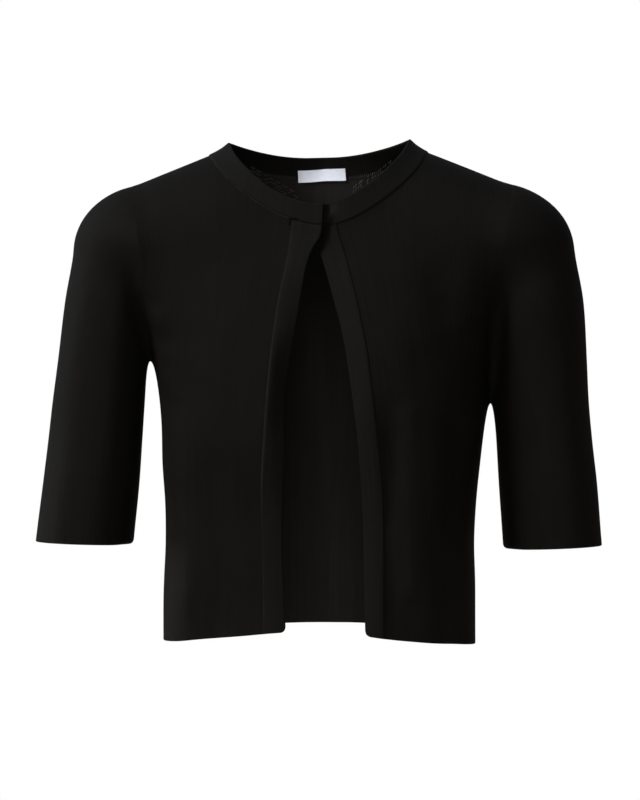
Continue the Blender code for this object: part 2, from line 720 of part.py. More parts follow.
def add_turned(collection, name, rings, closed, material):
    """A turned solid; it is a closed tube, or it is capped at both ends."""
    rows, sides = rings.shape[:2]
    faces = []
    for row in range(rows if closed else rows - 1):
        for side in range(sides):
            after, beside = (row + 1) % rows, (side + 1) % sides
            corners = ((row, side), (row, beside), (after, beside), (after, side))
            faces.append([ring * sides + place for ring, place in corners])
    if not closed:
        faces.append(list(range(sides)))
        faces.append([(rows - 1) * sides + side for side in range(sides)])
    return add_solid(collection, name, rings.reshape(-1, 3), faces, material)


def add_press_stud(collection):
    place = leave_form(np.array([[STUD_ACROSS, 0.0, STUD_HEIGHT]]), np.array([[0.0, -1.0, 0.0]]), 0.16)
    axis = outward(place)[0]
    metal = (0.02, 0.02, 0.02)
    base = LAP_OUT - PANEL_WALL - STUD_CLEARANCE
    ball = base - STUD_BASE_WALL
    tip = ball - STUD_BALL_HEIGHT
    profile = [
        (STUD_BASE_RADIUS * 0.9, base),
        (STUD_BASE_RADIUS, base - STUD_BASE_WALL * 0.5),
        (STUD_BASE_RADIUS * 0.9, ball),
        (STUD_BALL_RADIUS * 0.8, ball),
        (STUD_BALL_RADIUS, ball - STUD_BALL_HEIGHT * 0.5),
        (STUD_BALL_RADIUS * 0.6, tip),
    ]
    rings = turned(profile, place[0], axis, STUD_SIDES)
    add_turned(collection, "press_stud_ball", rings, False, plain_material("stud_ball_metal", metal, 0.35))
    low = BAND_WALL - PANEL_WALL - LAP_IN + STUD_CLEARANCE
    high = low + STUD_SOCKET_WALL
    profile = [
        (STUD_HOLE_RADIUS, low),
        (STUD_BASE_RADIUS, low),
        (STUD_BASE_RADIUS, low + STUD_SOCKET_WALL * 0.5),
        (STUD_BASE_RADIUS * 0.7, high),
        (STUD_HOLE_RADIUS, high),
    ]
    rings = turned(profile, place[0], axis, STUD_SIDES)
    add_turned(collection, "press_stud_socket", rings, True, plain_material("stud_socket_metal", metal, 0.35))


def build():
    clear_scene()
    collection = bpy.data.collections.new("short_sleeve_cardigan")
    bpy.context.scene.collection.children.link(collection)

    half_turn = np.linspace(0, np.pi, ARMHOLE_STEPS + 1)
    whole_turn = np.linspace(0, 2 * np.pi, 2 * ARMHOLE_STEPS, endpoint=False)
    front_armholes, back_armholes, shoulders, seams = {}, {}, {}, {}
    for name, side in (("right", -1), ("left", 1)):
        front_armholes[name] = sleeve_rings(name, [0.0], half_turn)[0]
        back_armholes[name] = sleeve_rings(name, [0.0], -half_turn)[0]
        neck = neck_ring(np.array([side * SHOULDER_TURN]), 1)[0]
        shoulders[name] = shoulder_seam(neck, front_armholes[name][-1])
        seams[name] = band_seam(name)

    back = back_panel(back_armholes, shoulders)
    add_cloth(collection, "back", back, outward(back), PANEL_WALL)
    for name in ("right", "left"):
        grid, normals = front_panel(name, front_armholes[name], shoulders[name], seams[name])
        add_cloth(collection, f"front_{name}", grid, normals, PANEL_WALL)
        grid, normals = band(name, seams[name])
        add_cloth(collection, f"band_{name}", grid, normals, BAND_WALL)
        rings = sleeve_rings(name, np.linspace(0, 1, SLEEVE_STEPS + 1), whole_turn)
        around = np.roll(rings[0], -1, axis=0) - np.roll(rings[0], 1, axis=0)
        rings[0] += SEAM_GAP / 2 * perpendicular(rings[1] - rings[0], around)
        add_cloth(collection, f"sleeve_{name}", rings, outward(rings), PANEL_WALL, True)
    grid, normals = neckband()
    add_cloth(collection, "neckband", grid, normals, BAND_WALL)
    grid, normals = label_grid()
    face = grid - (PANEL_WALL + LABEL_CLEARANCE) * normals
    satin = plain_material("label_satin", (0.8, 0.8, 0.78), 0.4)
    add_wall(collection, "label", face - LABEL_WALL * normals, face, False, satin)
    add_press_stud(collection)


build()
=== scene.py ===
"""Looks of the cropped short-sleeve cardigan: fine black knit in its hollow worn form.

Metres, +Z up, the front towards -Y and the wearer's left towards +X. The form's tables and functions are
those of the solids. Each panel is the same patch of the form in finer steps, with creases, edges and knit.
"""

import bpy
import numpy as np
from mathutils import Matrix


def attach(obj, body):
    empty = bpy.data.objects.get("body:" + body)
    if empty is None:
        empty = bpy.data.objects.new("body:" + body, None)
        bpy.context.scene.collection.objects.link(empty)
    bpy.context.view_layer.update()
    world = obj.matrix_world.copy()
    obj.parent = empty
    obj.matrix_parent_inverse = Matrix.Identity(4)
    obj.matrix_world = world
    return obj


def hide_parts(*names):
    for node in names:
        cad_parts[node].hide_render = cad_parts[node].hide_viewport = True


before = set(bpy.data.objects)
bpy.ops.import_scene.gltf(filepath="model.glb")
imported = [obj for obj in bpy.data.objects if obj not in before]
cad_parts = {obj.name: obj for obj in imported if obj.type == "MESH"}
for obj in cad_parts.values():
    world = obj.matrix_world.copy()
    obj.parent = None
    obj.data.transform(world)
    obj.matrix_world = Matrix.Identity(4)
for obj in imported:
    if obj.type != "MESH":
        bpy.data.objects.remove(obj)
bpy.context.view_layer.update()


def metres(rows):
    """A table that is written in millimetres."""
    return np.array(rows) / 1000


# Walls of the cloth
PANEL_WALL = 0.0014
BAND_WALL = 0.0024
LABEL_WALL = 0.0005

# The body inside the cloth, a row for each level: height, middle, half width, depth in front, depth behind
BODY_LEVELS = metres([
    (-600, -1, 155, 98, 93),
    (-480, -1, 153.5, 100, 93),
    (-435, -0.5, 153, 102, 91),
    (-395, 0, 151.5, 104, 90),
    (-355, 1, 152.5, 107, 91),
    (-315, 1.5, 156, 110, 94),
    (-275, 2.7, 159.4, 113, 98),
    (-235, 2.6, 164, 112, 102),
    (-200, 1.5, 170, 108, 104),
    (-160, 0, 181, 100, 102),
    (-120, 0, 189, 89, 94),
    (-90, 0, 184, 77, 81),
    (-60, 0, 148, 59, 62),
    (-35, 0, 90, 35, 36),
    (-20, 0, 30, 10, 10),
])
BODY_SQUARENESS = 2.35
TINY = 1e-9
SMALL = 1e-6
BODY_TOP = -0.020
BODY_BLEND = 0.045

# The shoulder slope, from the middle out to one side
YOKE_INNER = (0.0, 0.004, -0.0290)
YOKE_OUTER = (0.176, 0.004, -0.0885)
YOKE_RADII = (0.057, 0.046)
YOKE_DEPTH = 1.28
YOKE_LEFT_RISE = 0.0022

# The neck, which the neckband climbs a little way
NECK_LOW = (0.0, -0.006, -0.10)
NECK_HIGH = (0.0, -0.018, 0.10)
NECK_RADII = (0.0760, 0.0725)
NECK_DEPTH = 0.80
NECK_BLEND = 0.032

# Inside the sleeves, a row for each level: height, axis sideways, axis in depth, radius
SLEEVE_LEVELS = {
    "right": metres([
        (-520, -245, -13, 48),
        (-395, -234.3, -9, 47.2),
        (-335, -227.7, -7, 46.4),
        (-295, -224, -5.5, 45.3),
        (-255, -220.5, -4, 44.3),
        (-215, -216.8, -2.5, 43),
        (-155, -210.5, -1, 42.2),
        (-101, -203.7, 0, 40.2),
        (-40, -203.7, 0, 40.2),
    ]),
    "left": metres([
        (-520, 240, -13, 50),
        (-395, 230, -9, 47.6),
        (-335, 225.7, -7, 47.3),
        (-295, 222.4, -5.5, 46.2),
        (-255, 219.5, -4, 45.7),
        (-215, 217.7, -2.5, 45.8),
        (-155, 211, -1, 49),
        (-101, 206, 0, 45),
        (-40, 206, 0, 45),
    ]),
}
SLEEVE_TOP = {"right": -0.1035, "left": -0.1030}
SLEEVE_DEPTH = 1.10
SLEEVE_BLEND_LOW = {"right": 0.0125, "left": 0.0145}
SLEEVE_BLEND_HIGH = 0.030
SLEEVE_BLEND_FROM = -0.190
SLEEVE_BLEND_TO = -0.090

# Folds and the lap come in over this depth from the middle of the form
FOLD_DEEP = 0.03

# Soft folds in the cloth, in front (-1) and behind (1): ends across and up, half width, height
FOLDS = {
    -1: metres([
        (-100, -330, -96, -475, 24, -3.5),
        (-136, -450, -138, -485, 12, 2),
        (-140, -275, -134, -330, 12, 1.5),
        (84, -270, 86, -440, 10, 2.5),
        (67, -290, 67, -370, 8, -1.5),
        (128, -285, 132, -490, 15, -3.5),
        (112, -120, 128, -195, 26, -3),
        (-110, -125, -126, -190, 24, -2),
        (74, -205, 70, -240, 22, 2),
    ]),
    1: metres([
        (-85, -240, -78, -470, 20, -3),
        (92, -260, 80, -480, 22, -3.5),
        (-10, -330, 4, -490, 18, 2),
        (118, -110, 132, -200, 22, -2.5),
        (-118, -110, -130, -190, 22, -2.5),
    ]),
}

# Neck seam and top edge as rays from inside the neck: turn from the front, rise to the top edge, to the seam
NECK_CENTRE = np.array([0.0, -0.010, -0.12])
NECK_RAYS = np.array([
    (-180.0, 52.8, 46.0),
    (-160.0, 53.1, 45.6),
    (-140.0, 53.0, 44.6),
    (-120.0, 52.9, 44.3),
    (-100.0, 52.9, 44.2),
    (-80.0, 52.2, 43.4),
    (-60.0, 47.9, 37.9),
    (-40.0, 42.7, 32.3),
    (-20.0, 39.8, 28.3),
    (0.0, 38.9, 25.8),
    (20.0, 41.3, 28.0),
    (40.0, 45.2, 33.5),
    (60.0, 50.0, 39.5),
    (80.0, 54.0, 45.4),
    (100.0, 54.4, 46.0),
    (120.0, 54.2, 45.7),
    (140.0, 54.0, 44.8),
    (160.0, 53.6, 45.5),
    (180.0, 52.8, 46.0),
])
SHOULDER_TURN = 96.0

# Front edges seen from in front: height, the free edge across, the band's seam across
FRONT_EDGES = {
    "right": metres([
        (-40, 3, -29),
        (-64.5, 3, -29),
        (-88.7, 1, -28.5),
        (-100.3, -5, -29.5),
        (-119.6, -12, -32.5),
        (-148.7, -18, -39.2),
        (-177.7, -23.2, -44),
        (-216.3, -30, -49),
        (-255, -34.3, -52.5),
        (-293.7, -35.5, -55),
        (-351.7, -36.7, -58.5),
        (-380.7, -36.9, -58.5),
        (-440.7, -34.7, -56.6),
        (-520, -32.5, -57),
    ]),
    "left": metres([
        (-40, -9, 14),
        (-64.5, -9, 14.5),
        (-88.7, -8, 17.5),
        (-108, -1.5, 23.5),
        (-129.3, 5.3, 29),
        (-158.3, 13.1, 36),
        (-177.7, 18.5, 40),
        (-206.7, 24.7, 45.5),
        (-235.7, 29.2, 49.3),
        (-293.7, 37.7, 56),
        (-351.7, 42.1, 61.2),
        (-380.7, 43.4, 61.9),
        (-440, 44, 61.9),
        (-520, 44.5, 62),
    ]),
}

# Lower edge: a height near its middle, points tried and rounds, then rows of distance across, height in
# front, height behind
HEM_LEVEL = -0.488
HEM_POINTS = 120
HEM_ROUNDS = 3
HEM = metres([
    (-158, -492.5, -492.5),
    (-150, -491.7, -491.5),
    (-110, -486.6, -487),
    (-80, -483.6, -484.5),
    (-35, -480, -482.5),
    (0, -480.5, -482),
    (45, -483.5, -482.5),
    (70, -486.8, -484.5),
    (95, -489.5, -487),
    (150, -495.5, -495),
    (158, -496.5, -496.5),
])

# Where the right front laps over the left at the neck, one side goes out and the other in
LAP_OUT = 0.0028
LAP_IN = 0.0018
LAP_LOW = -0.165
LAP_FULL = -0.115
LAP_FADE = 0.046
LAP_RIGHT_FROM = -0.060
LAP_LEFT_FROM = 0.054

# How far the front bands' free edges turn in: height, right band, left band
BAND_TURN = metres([
    (-520, 6, 6),
    (-420, 8, 8),
    (-300, 10, 9),
    (-240, 12, 9),
    (-180, 7, 7),
    (-130, 2, 3),
    (-100, 0, 0),
    (-40, 0, 0),
])

# Armholes and cuffs: underarm across and up, shoulder tip across and up
ARMHOLES = {
    "right": ((-0.1690, -0.2130), (-0.1880, -0.0430)),
    "left": ((0.1690, -0.2570), (0.1900, -0.0430)),
}
CUFFS = {
    "right": ((-0.1860, -0.3975), (-0.2820, -0.3945)),
    "left": ((0.1820, -0.4020), (0.2800, -0.3985)),
}
ARMHOLE_DISH = 0.004
DISH_FADE = 0.22

# The armhole follows the crease under the arm up to the first height above the underarm, and leaves it by the
# second; this fades over a share of the sleeve's length
CREASE_FROM = 0.030
CREASE_TO = 0.085
CREASE_FADE = 0.35

# How far the rays go that look for the form's surface, in front and behind, at the hem, sleeves and shoulders
FRONT = np.array([0.0, -1.0, 0.0])
UPWARD = np.array([0.0, 0.0, 1.0])
REACH = 0.16
HEM_REACH = 0.178
SLEEVE_REACH = 0.115
SHOULDER_REACH = 0.08
HALVINGS = 36

# Moves onto the form: the longest one, and the least squared slope that is reckoned with
MOVE_LIMIT = 0.02
LEAST_SLOPE = 0.05

# Turns tried where the neck meets the front edges, and over how many the neckband's ends are turned to them
NECK_SEARCH = (-40, 40, 321)
END_TURNS = 25

# Half depth of the sleeve as its rays see it, and rounds and longest move into the crease under the arm
SLEEVE_HALF_DEPTH = 0.050
CREASE_ROUNDS = 8
CREASE_MOVE = 0.004

# Side seam: where it meets the hem, and how far its rays go on; shoulder: how far below it its rays start
SIDE_ACROSS = 0.156
SIDE_BEYOND = 0.004
SHOULDER_BELOW = 0.03

# Front bands: a height near the hem, points tried, share of the length below the armhole, and rows at the top
# and bottom that are fitted to the neck and the hem
BAND_LEVEL = -0.48
BAND_POINTS = 200
BAND_LOW_SHARE = 0.58
BAND_TOP_ROWS = 4
BAND_HEM_ROWS = 3

# Counts of steps along the seams
SIDE_STEPS = 14
SIDE_CLOSING = 1.6
CLOSER_SHARE = 0.35
ARMHOLE_STEPS = 14
SLEEVE_STEPS = 20
SHOULDER_STEPS = 5
FRONT_NECK_STEPS = 9
BACK_NECK_STEPS = 16
BAND_STEPS = 3
NECKBAND_STEPS = 2
BACK_TURNS = np.linspace(-SHOULDER_TURN, SHOULDER_TURN - 360.0, BACK_NECK_STEPS + 1)

# The woven label inside the back of the neck: height of its middle, centre across, length, depth, tilt
LABEL_HEIGHT = -0.0283
LABEL_ACROSS = 0.0015
LABEL_LENGTH = 0.049
LABEL_DEPTH = 0.015
LABEL_TILT = 0.055
LABEL_CLEARANCE = 0.0009
LABEL_REACH = 0.13

# Its finer form: counts of points across and up, lower and upper edge from its middle, and the margin beside
# it that the linking leaves free
LABEL_COUNTS = (57, 17)
LABEL_UP = (-0.003588, 0.009108)
LABEL_MARGIN = 0.0015

# Its waviness: height, half waves and phase; how far its middle stands off, and the share of its depth where
# it lies flat again; how far its folded ends stand off, and the shares of its half length where they start
LABEL_WAVES = (0.0002, 3.0, 0.6)
LABEL_STAND = 0.0007
LABEL_FLAT = 0.6
LABEL_END = 0.0003
LABEL_END_FROM = 0.90
LABEL_END_FADE = 0.04

# The label's stitches: pitch, half length and height
LABEL_STITCH = (0.0018, 0.0005, 0.00025)


def between_rows(table, at):
    """The table's other columns at each value of its first one, on smooth curves through its rows."""
    table = table[np.argsort(table[:, 0])]
    keys, values = table[:, 0], table[:, 1:]
    at = np.clip(at, keys[0] + SMALL, keys[-1] - SMALL)
    low = np.clip(np.searchsorted(keys, at, side="right") - 1, 0, len(keys) - 2)
    step = (keys[low + 1] - keys[low])[..., None]
    t = (at - keys[low])[..., None] / step
    slopes = np.gradient(values, keys, axis=0)
    return (
        (2 * t**3 - 3 * t**2 + 1) * values[low]
        + (t**3 - 2 * t**2 + t) * step * slopes[low]
        + (3 * t**2 - 2 * t**3) * values[low + 1]
        + (t**3 - t**2) * step * slopes[low + 1]
    )


def smooth_step(t):
    t = np.clip(t, 0.0, 1.0)
    return t * t * (3 - 2 * t)


def smooth_union(a, b, blend):
    share = np.clip(0.5 + 0.5 * (b - a) / blend, 0, 1)
    return b + (a - b) * share - blend * share * (1 - share)


def beside_line(points, start, end):
    """Each point's share of the way from start to end, and its distance from the line between them."""
    along = end - start
    share = (points - start) @ along / (along @ along)
    away = points - start - np.clip(share, 0, 1)[..., None] * along
    return share, np.linalg.norm(away, axis=-1)


def limb(points, start, end, radii, depth):
    """Distance outside a tapering round limb, whose depth along Y is its radius times depth."""
    squeeze = np.array([1.0, 1.0 / depth, 1.0])
    share, reach = beside_line(points * squeeze, np.array(start) * squeeze, np.array(end) * squeeze)
    return reach - (radii[0] + np.clip(share, 0, 1) * (radii[1] - radii[0]))


def body_field(points):
    middle, half, front, behind = np.moveaxis(between_rows(BODY_LEVELS, points[..., 2]), -1, 0)
    depth = np.where(points[..., 1] < 0, front, behind)
    across = np.abs(points[..., 0] - middle) + TINY
    deep = np.abs(points[..., 1]) + TINY
    power = BODY_SQUARENESS
    share = ((across / half) ** power + (deep / depth) ** power) ** (1 / power)
    reach = np.hypot(across, deep)
    above = points[..., 2] - BODY_TOP
    return np.where(above < 0, reach - reach / share, np.hypot(reach, above))


def sleeve_field(points, name):
    across, deep, radius = np.moveaxis(between_rows(SLEEVE_LEVELS[name], points[..., 2]), -1, 0)
    above = np.maximum(points[..., 2] - SLEEVE_TOP[name], 0)
    out = np.sqrt((points[..., 0] - across) ** 2 + ((points[..., 1] - deep) / SLEEVE_DEPTH) ** 2 + above**2)
    return out - radius


def ridges(points, seen, table, deep, end_share=None):
    """How far ridges and troughs lift the cloth: a row for each, on the side of the form where it lies.

    They come in over a depth from the middle of the form, and fade over a share of their length at each end.
    """
    height = np.zeros(points.shape[:-1])
    for side, rows in table.items():
        here = smooth_step(side * points[..., 1] / deep)
        for row in rows:
            share, away = beside_line(seen, row[0:2], row[2:4])
            half, rise = row[4:]
            ends = smooth_step(share / end_share) * smooth_step((1 - share) / end_share) if end_share else 1.0
            height += rise * ends * here * np.exp(-((away / half) ** 2))
    return height


def trunk_field(points):
    """Distance outside the body with its shoulders and neck, without the sleeves."""
    rise = YOKE_LEFT_RISE * smooth_step(points[..., 0] / YOKE_OUTER[0])
    mirrored = np.stack([np.abs(points[..., 0]), points[..., 1], points[..., 2] - rise], axis=-1)
    yoke = limb(mirrored, YOKE_INNER, YOKE_OUTER, YOKE_RADII, YOKE_DEPTH)
    neck = limb(points, NECK_LOW, NECK_HIGH, NECK_RADII, NECK_DEPTH)
    return smooth_union(smooth_union(body_field(points), yoke, BODY_BLEND), neck, NECK_BLEND)


def field(points):
    """Distance outside the outer face of the panels, negative inside."""
    out = trunk_field(points)
    rise = (points[..., 2] - SLEEVE_BLEND_FROM) / (SLEEVE_BLEND_TO - SLEEVE_BLEND_FROM)
    for name in SLEEVE_LEVELS:
        low = SLEEVE_BLEND_LOW[name]
        blend = low + (SLEEVE_BLEND_HIGH - low) * smooth_step(rise)
        out = smooth_union(out, sleeve_field(points, name), blend)
    return out - ridges(points, points[..., [0, 2]], FOLDS, FOLD_DEEP) - PANEL_WALL


def slope(points, of=field, step=2e-5):
    """The field's rate of change along X, Y and Z."""
    rates = [(of(points + move) - of(points - move)) / (2 * step) for move in np.eye(3) * step]
    return np.stack(rates, axis=-1)


def unit(vectors):
    return vectors / np.linalg.norm(vectors, axis=-1, keepdims=True)


def outward(points):
    return unit(slope(points))


def onto_form(points, rounds=4):
    for _ in range(rounds):
        rate = slope(points)
        share = field(points) / np.maximum((rate**2).sum(-1), LEAST_SLOPE)
        points = points - np.clip(share, -MOVE_LIMIT, MOVE_LIMIT)[..., None] * rate
    return points


def leave_form(starts, directions, reach=REACH):
    """Where rays that start inside the form first get out of it."""
    starts, directions = np.broadcast_arrays(starts, directions)
    near = np.zeros(starts.shape[:-1])
    far = near + reach
    for _ in range(HALVINGS):
        middle = (near + far) / 2
        inside = field(starts + middle[..., None] * directions) < 0
        near, far = np.where(inside, middle, near), np.where(inside, far, middle)
    return starts + far[..., None] * directions


def spaced(curve, steps, shares=None):
    """The curve with this many even steps, or with points at these shares of its length."""
    lengths = np.concatenate([[0], np.cumsum(np.linalg.norm(np.diff(curve, axis=0), axis=1))])
    at = np.linspace(0, 1, steps + 1) if shares is None else shares
    return np.stack([np.interp(at * lengths[-1], lengths, curve[:, axis]) for axis in range(3)], axis=-1)


def neck_ring(turns, column):
    """Points of the neck's top edge (column 0) or its seam (column 1), at these turns from the front."""
    wrapped = (turns + 180) % 360 - 180
    rise = np.radians(between_rows(NECK_RAYS, wrapped)[..., column])
    turn = np.radians(wrapped)
    away = np.stack([np.sin(turn) * np.cos(rise), -np.cos(turn) * np.cos(rise), np.sin(rise)], axis=-1)
    return leave_form(NECK_CENTRE, away)


def front_edge(name, column, heights):
    """Points in front at these heights, on the free edge (column 0) or the band's seam (column 1)."""
    across = between_rows(FRONT_EDGES[name], heights)[..., column]
    return leave_form(np.stack([across, 0 * across, heights], axis=-1), FRONT)


def hem_height(across, behind):
    return between_rows(HEM, across)[..., 1 if behind else 0]


def hem_curve(turns, behind):
    """The lower edge at these turns from the front, in degrees."""
    turn = np.radians(turns)
    away = np.stack([np.sin(turn), -np.cos(turn), 0 * turn], axis=-1)
    heights = np.full(len(turns), HEM_LEVEL)
    for _ in range(HEM_ROUNDS):
        starts = np.stack([0 * turn, 0 * turn, heights], axis=-1)
        points = leave_form(starts, away, HEM_REACH)
        heights = hem_height(points[:, 0], behind)
    points[:, 2] = heights
    return points


def lap_lift(points, name):
    """How far the cloth of one front is moved out, or in, where the two fronts lap."""
    high = smooth_step((points[..., 2] - LAP_LOW) / (LAP_FULL - LAP_LOW))
    front = smooth_step(-points[..., 1] / FOLD_DEEP)
    if name == "right":
        return LAP_OUT * high * front * smooth_step((points[..., 0] - LAP_RIGHT_FROM) / LAP_FADE)
    return -LAP_IN * high * front * smooth_step((LAP_LEFT_FROM - points[..., 0]) / LAP_FADE)


def patch(bottom, top, start, end, rounds=60):
    """A grid of rows on the form, between a lower and an upper seam and two side seams."""
    across = np.linspace(0, 1, len(bottom))[None, :, None]
    up = np.linspace(0, 1, len(start))[:, None, None]
    grid = (1 - up) * bottom + up * top + (1 - across) * start[:, None] + across * end[:, None]
    grid -= (1 - up) * ((1 - across) * bottom[0] + across * bottom[-1])
    grid -= up * ((1 - across) * top[0] + across * top[-1])
    for _ in range(rounds):
        inner = (grid[2:, 1:-1] + grid[:-2, 1:-1] + grid[1:-1, 2:] + grid[1:-1, :-2]) / 4
        grid[1:-1, 1:-1] = onto_form(inner, 1)
    grid[1:-1, 1:-1] = onto_form(grid[1:-1, 1:-1])
    return grid


def closer_column(grid, last):
    """The grid with one more column beside its last one, or beside its first, where the crease is tight."""
    edge, beside = (grid[:, -1], grid[:, -2]) if last else (grid[:, 0], grid[:, 1])
    return np.insert(grid, -1 if last else 1, onto_form(edge + CLOSER_SHARE * (beside - edge)), axis=1)


def neck_turn(name, column, edge):
    """The turn where the neck's top edge (0) or seam (1) meets a front's free edge (0) or band seam (1)."""
    turns = np.linspace(*NECK_SEARCH)
    points = neck_ring(turns, column)
    beyond = points[:, 0] - between_rows(FRONT_EDGES[name], points[:, 2])[:, edge]
    return np.interp(0.0, beyond, turns)


def sleeve_rings(name, shares, turns):
    """Rings round the sleeve, from the armhole (0) to the cuff (1); each turns from underarm to front."""
    shares = np.asarray(shares, float)[:, None, None]
    side = np.sign(ARMHOLES[name][0][0])
    (low_x, low_z), (high_x, high_z) = ARMHOLES[name]
    (in_x, in_z), (out_x, out_z) = CUFFS[name]
    armhole_lean = np.arctan2(high_z - low_z, side * (high_x - low_x))
    cuff_lean = np.arctan2(out_z - in_z, side * (out_x - in_x))
    lean = armhole_lean + (cuff_lean - armhole_lean) * shares
    armhole_half = np.hypot(high_x - low_x, high_z - low_z) / 2
    cuff_half = np.hypot(out_x - in_x, out_z - in_z) / 2
    half = armhole_half + (cuff_half - armhole_half) * shares
    up = np.concatenate([side * np.cos(lean), 0 * lean, np.sin(lean)], axis=-1)
    underarm, cuff = np.array([low_x, 0.0, low_z]), np.array([in_x, 0.0, in_z])
    dish = ARMHOLE_DISH * smooth_step(1 - shares / DISH_FADE)
    aside = np.sin(turns)[:, None]
    away = aside * SLEEVE_HALF_DEPTH * FRONT - np.cos(turns)[:, None] * half * up
    away = unit(away)
    starts = underarm + (cuff - underarm) * shares + half * up - side * dish * aside**2 * [1.0, 0.0, 0.0]
    rings = leave_form(starts, away, SLEEVE_REACH)
    near = smooth_step((CREASE_TO - (rings[0, :, 2:] - low_z)) / (CREASE_TO - CREASE_FROM))
    drawn = (into_crease(rings[0], name) - rings[0]) * near
    return onto_form(rings + drawn * smooth_step(1 - shares / CREASE_FADE))


def into_crease(points, name):
    """Points of the form moved along it into the crease where the sleeve and the body meet."""

    def split(places):
        return trunk_field(places) - sleeve_field(places, name)

    for _ in range(CREASE_ROUNDS):
        rate = slope(points, split)
        share = np.clip(split(points) / (rate**2).sum(-1), -CREASE_MOVE, CREASE_MOVE)
        points = points - share[..., None] * rate
        points = onto_form(points, 2)
    return points


def side_seam(top):
    """The side seam from the hem up to this point of the armhole."""
    side = np.sign(top[0])
    low = hem_height(np.array(side * SIDE_ACROSS), False)
    heights = top[2] + (low - top[2]) * np.linspace(1, 0, SIDE_STEPS + 1)[:-1] ** SIDE_CLOSING
    levels = between_rows(BODY_LEVELS, heights)
    starts = np.stack([0 * heights, 0 * heights, heights], axis=-1)
    reach = side * levels[:, 0] + levels[:, 1] + SIDE_BEYOND
    return np.concatenate([leave_form(starts, [side, 0.0, 0.0], reach), top[None]])


def shoulder_seam(neck, tip):
    """The shoulder seam from the neck seam out to the tip, along the ridge of the shoulder."""
    shares = np.linspace(0, 1, SHOULDER_STEPS + 1)[:, None]
    line = neck + (tip - neck) * shares
    rising = leave_form(line[1:-1] - SHOULDER_BELOW * UPWARD, UPWARD, SHOULDER_REACH)
    return np.concatenate([neck[None], rising, tip[None]])


def band_seam(name):
    """The seam of a front band from the hem to the neck seam."""
    top = neck_ring(np.array([neck_turn(name, 1, 1)]), 1)
    bottom = hem_height(between_rows(FRONT_EDGES[name], np.array([BAND_LEVEL]))[0, 1], False)
    curve = front_edge(name, 1, np.linspace(bottom, top[0, 2], BAND_POINTS))
    shares = np.concatenate([
        np.linspace(0, BAND_LOW_SHARE, SIDE_STEPS + 1),
        np.linspace(BAND_LOW_SHARE, 1, ARMHOLE_STEPS + 1)[1:],
    ])
    return spaced(curve, None, shares)


def front_neck(name):
    """Turns of the neck seam's points on a front: over the band, then on to the shoulder."""
    side = -1 if name == "right" else 1
    over_band = np.linspace(neck_turn(name, 1, 0), neck_turn(name, 1, 1), BAND_STEPS + 1)
    to_shoulder = np.linspace(over_band[-1], side * SHOULDER_TURN, FRONT_NECK_STEPS + 1)
    return over_band, to_shoulder


# Looks: steps of the fine cloth, the columns that a ring laps over itself, and closer steps beside the edges
FINE_STEP = 0.0034
BAND_FINE_STEP = 0.0022
NECKBAND_FINE_STEP = 0.0024
RING_LAP = 3
EDGE_STEPS = (0.0, 0.0005, 0.0011, 0.0019, 0.0030)

# Grooves along the seams, the share of a band's greater wall by which its seam drops to the panel, and the
# share of a groove that the inner face has
GROOVE_DEPTH = 0.00022
GROOVE_WIDTH = 0.0010
STEP_SHARE = 0.9
INNER_SHARE = 0.3

# How deep the groove is at the seams of each piece, as a share of a full one
GROOVES = {
    "back": {"top": 0.3, "start": 0.3, "end": 0.3},
    "front": {"top": 0.15, "start": 0.7, "end": 0.3},
    "band": {"top": 0.3, "start": 1.0},
    "sleeve": {"bottom": 0.25},
    "neckband": {"bottom": 0.9},
}

# Free edges: how far in they start to round off and how far they close, as shares of the wall, and the depth
# that the knit gets on their rim
ROUNDED_SHARE = 0.6
CLOSED_SHARE = 0.92
RIM = 0.001

# Round lower corners of the bands; curl of the cuffs where they face the body; rise of the neckband behind
CORNER_RADIUS = 0.006
CUFF_CURL = 0.0045
CUFF_FACING = 0.6
CUFF_FADE = 0.35
NECK_RISE = 0.0014
NECK_RISE_FADE = 0.05

# Sewing: sides round a thread and how far its ends narrow; half width and half height of a thread, of a bound
# seam allowance, of a loop and of the label's thread; how deep the allowances lie, and their steps
THREAD_SIDES = 6
THREAD_END = 0.35
THREAD = (0.00022, 0.00022)
ALLOWANCE = (0.0026, 0.0006)
LOOP_THREAD = (0.00034, 0.00030)
LABEL_THREAD = (0.00014, 0.00012)
ALLOWANCE_DEPTH = 0.0026
ALLOWANCE_STEP = 0.006

# Stitches: pitch, width, slant and height
OVERLOCK = (0.0026, 0.0050, 0.0016, 0.0003)
NECK_OUTSIDE = (0.0016, 0.0011, 0.0006, 0.0002)
NECK_INSIDE = (0.0022, 0.0030, 0.0010, 0.0003)
BAND_LINKING = (0.0018, 0.0009, 0.0007, 0.0001)
LOOPS = (0.0026, 0.0022, 0.0026, 0.0004)

# How deep stitches lie: overlock below its allowance, linking below the inner face and below the outer one,
# and how far the outer linking sinks in on the left front, over what distance
OVERLOCK_BELOW = 0.0006
INSIDE_BELOW = 0.0006
OUTSIDE_DEPTH = 0.0001
SUNK = 0.0005
SUNK_FADE = 0.02

# How uneven the stitches are: shares of their width and lean, and turns of a wave for each stitch
UNEVEN = ((0.18, 2.4), (0.12, 0.37))

# Places along a stitch, from one end (-1) to the other (1)
BOW = np.linspace(-1, 1, 5)[:, None]

# How deep the linking of each front band lies. Then the right band's bar tacks: pitch and numbers of their
# threads, points along each thread, and for each tack its ends across and up, and its lift
BAND_STITCH_DEPTHS = {"right": 0.0001, "left": 0.0006}
TACK_PITCH = 0.0004
TACK_THREADS = np.arange(-2, 3)[:, None, None]
TACK_POINTS = 7
BAR_TACKS = (
    ((-0.0312, -0.0787), (-0.0232, -0.0787), BAND_WALL - PANEL_WALL + 0.0001),
    ((-0.0300, -0.0800), (-0.0300, -0.0845), 0.0003),
)

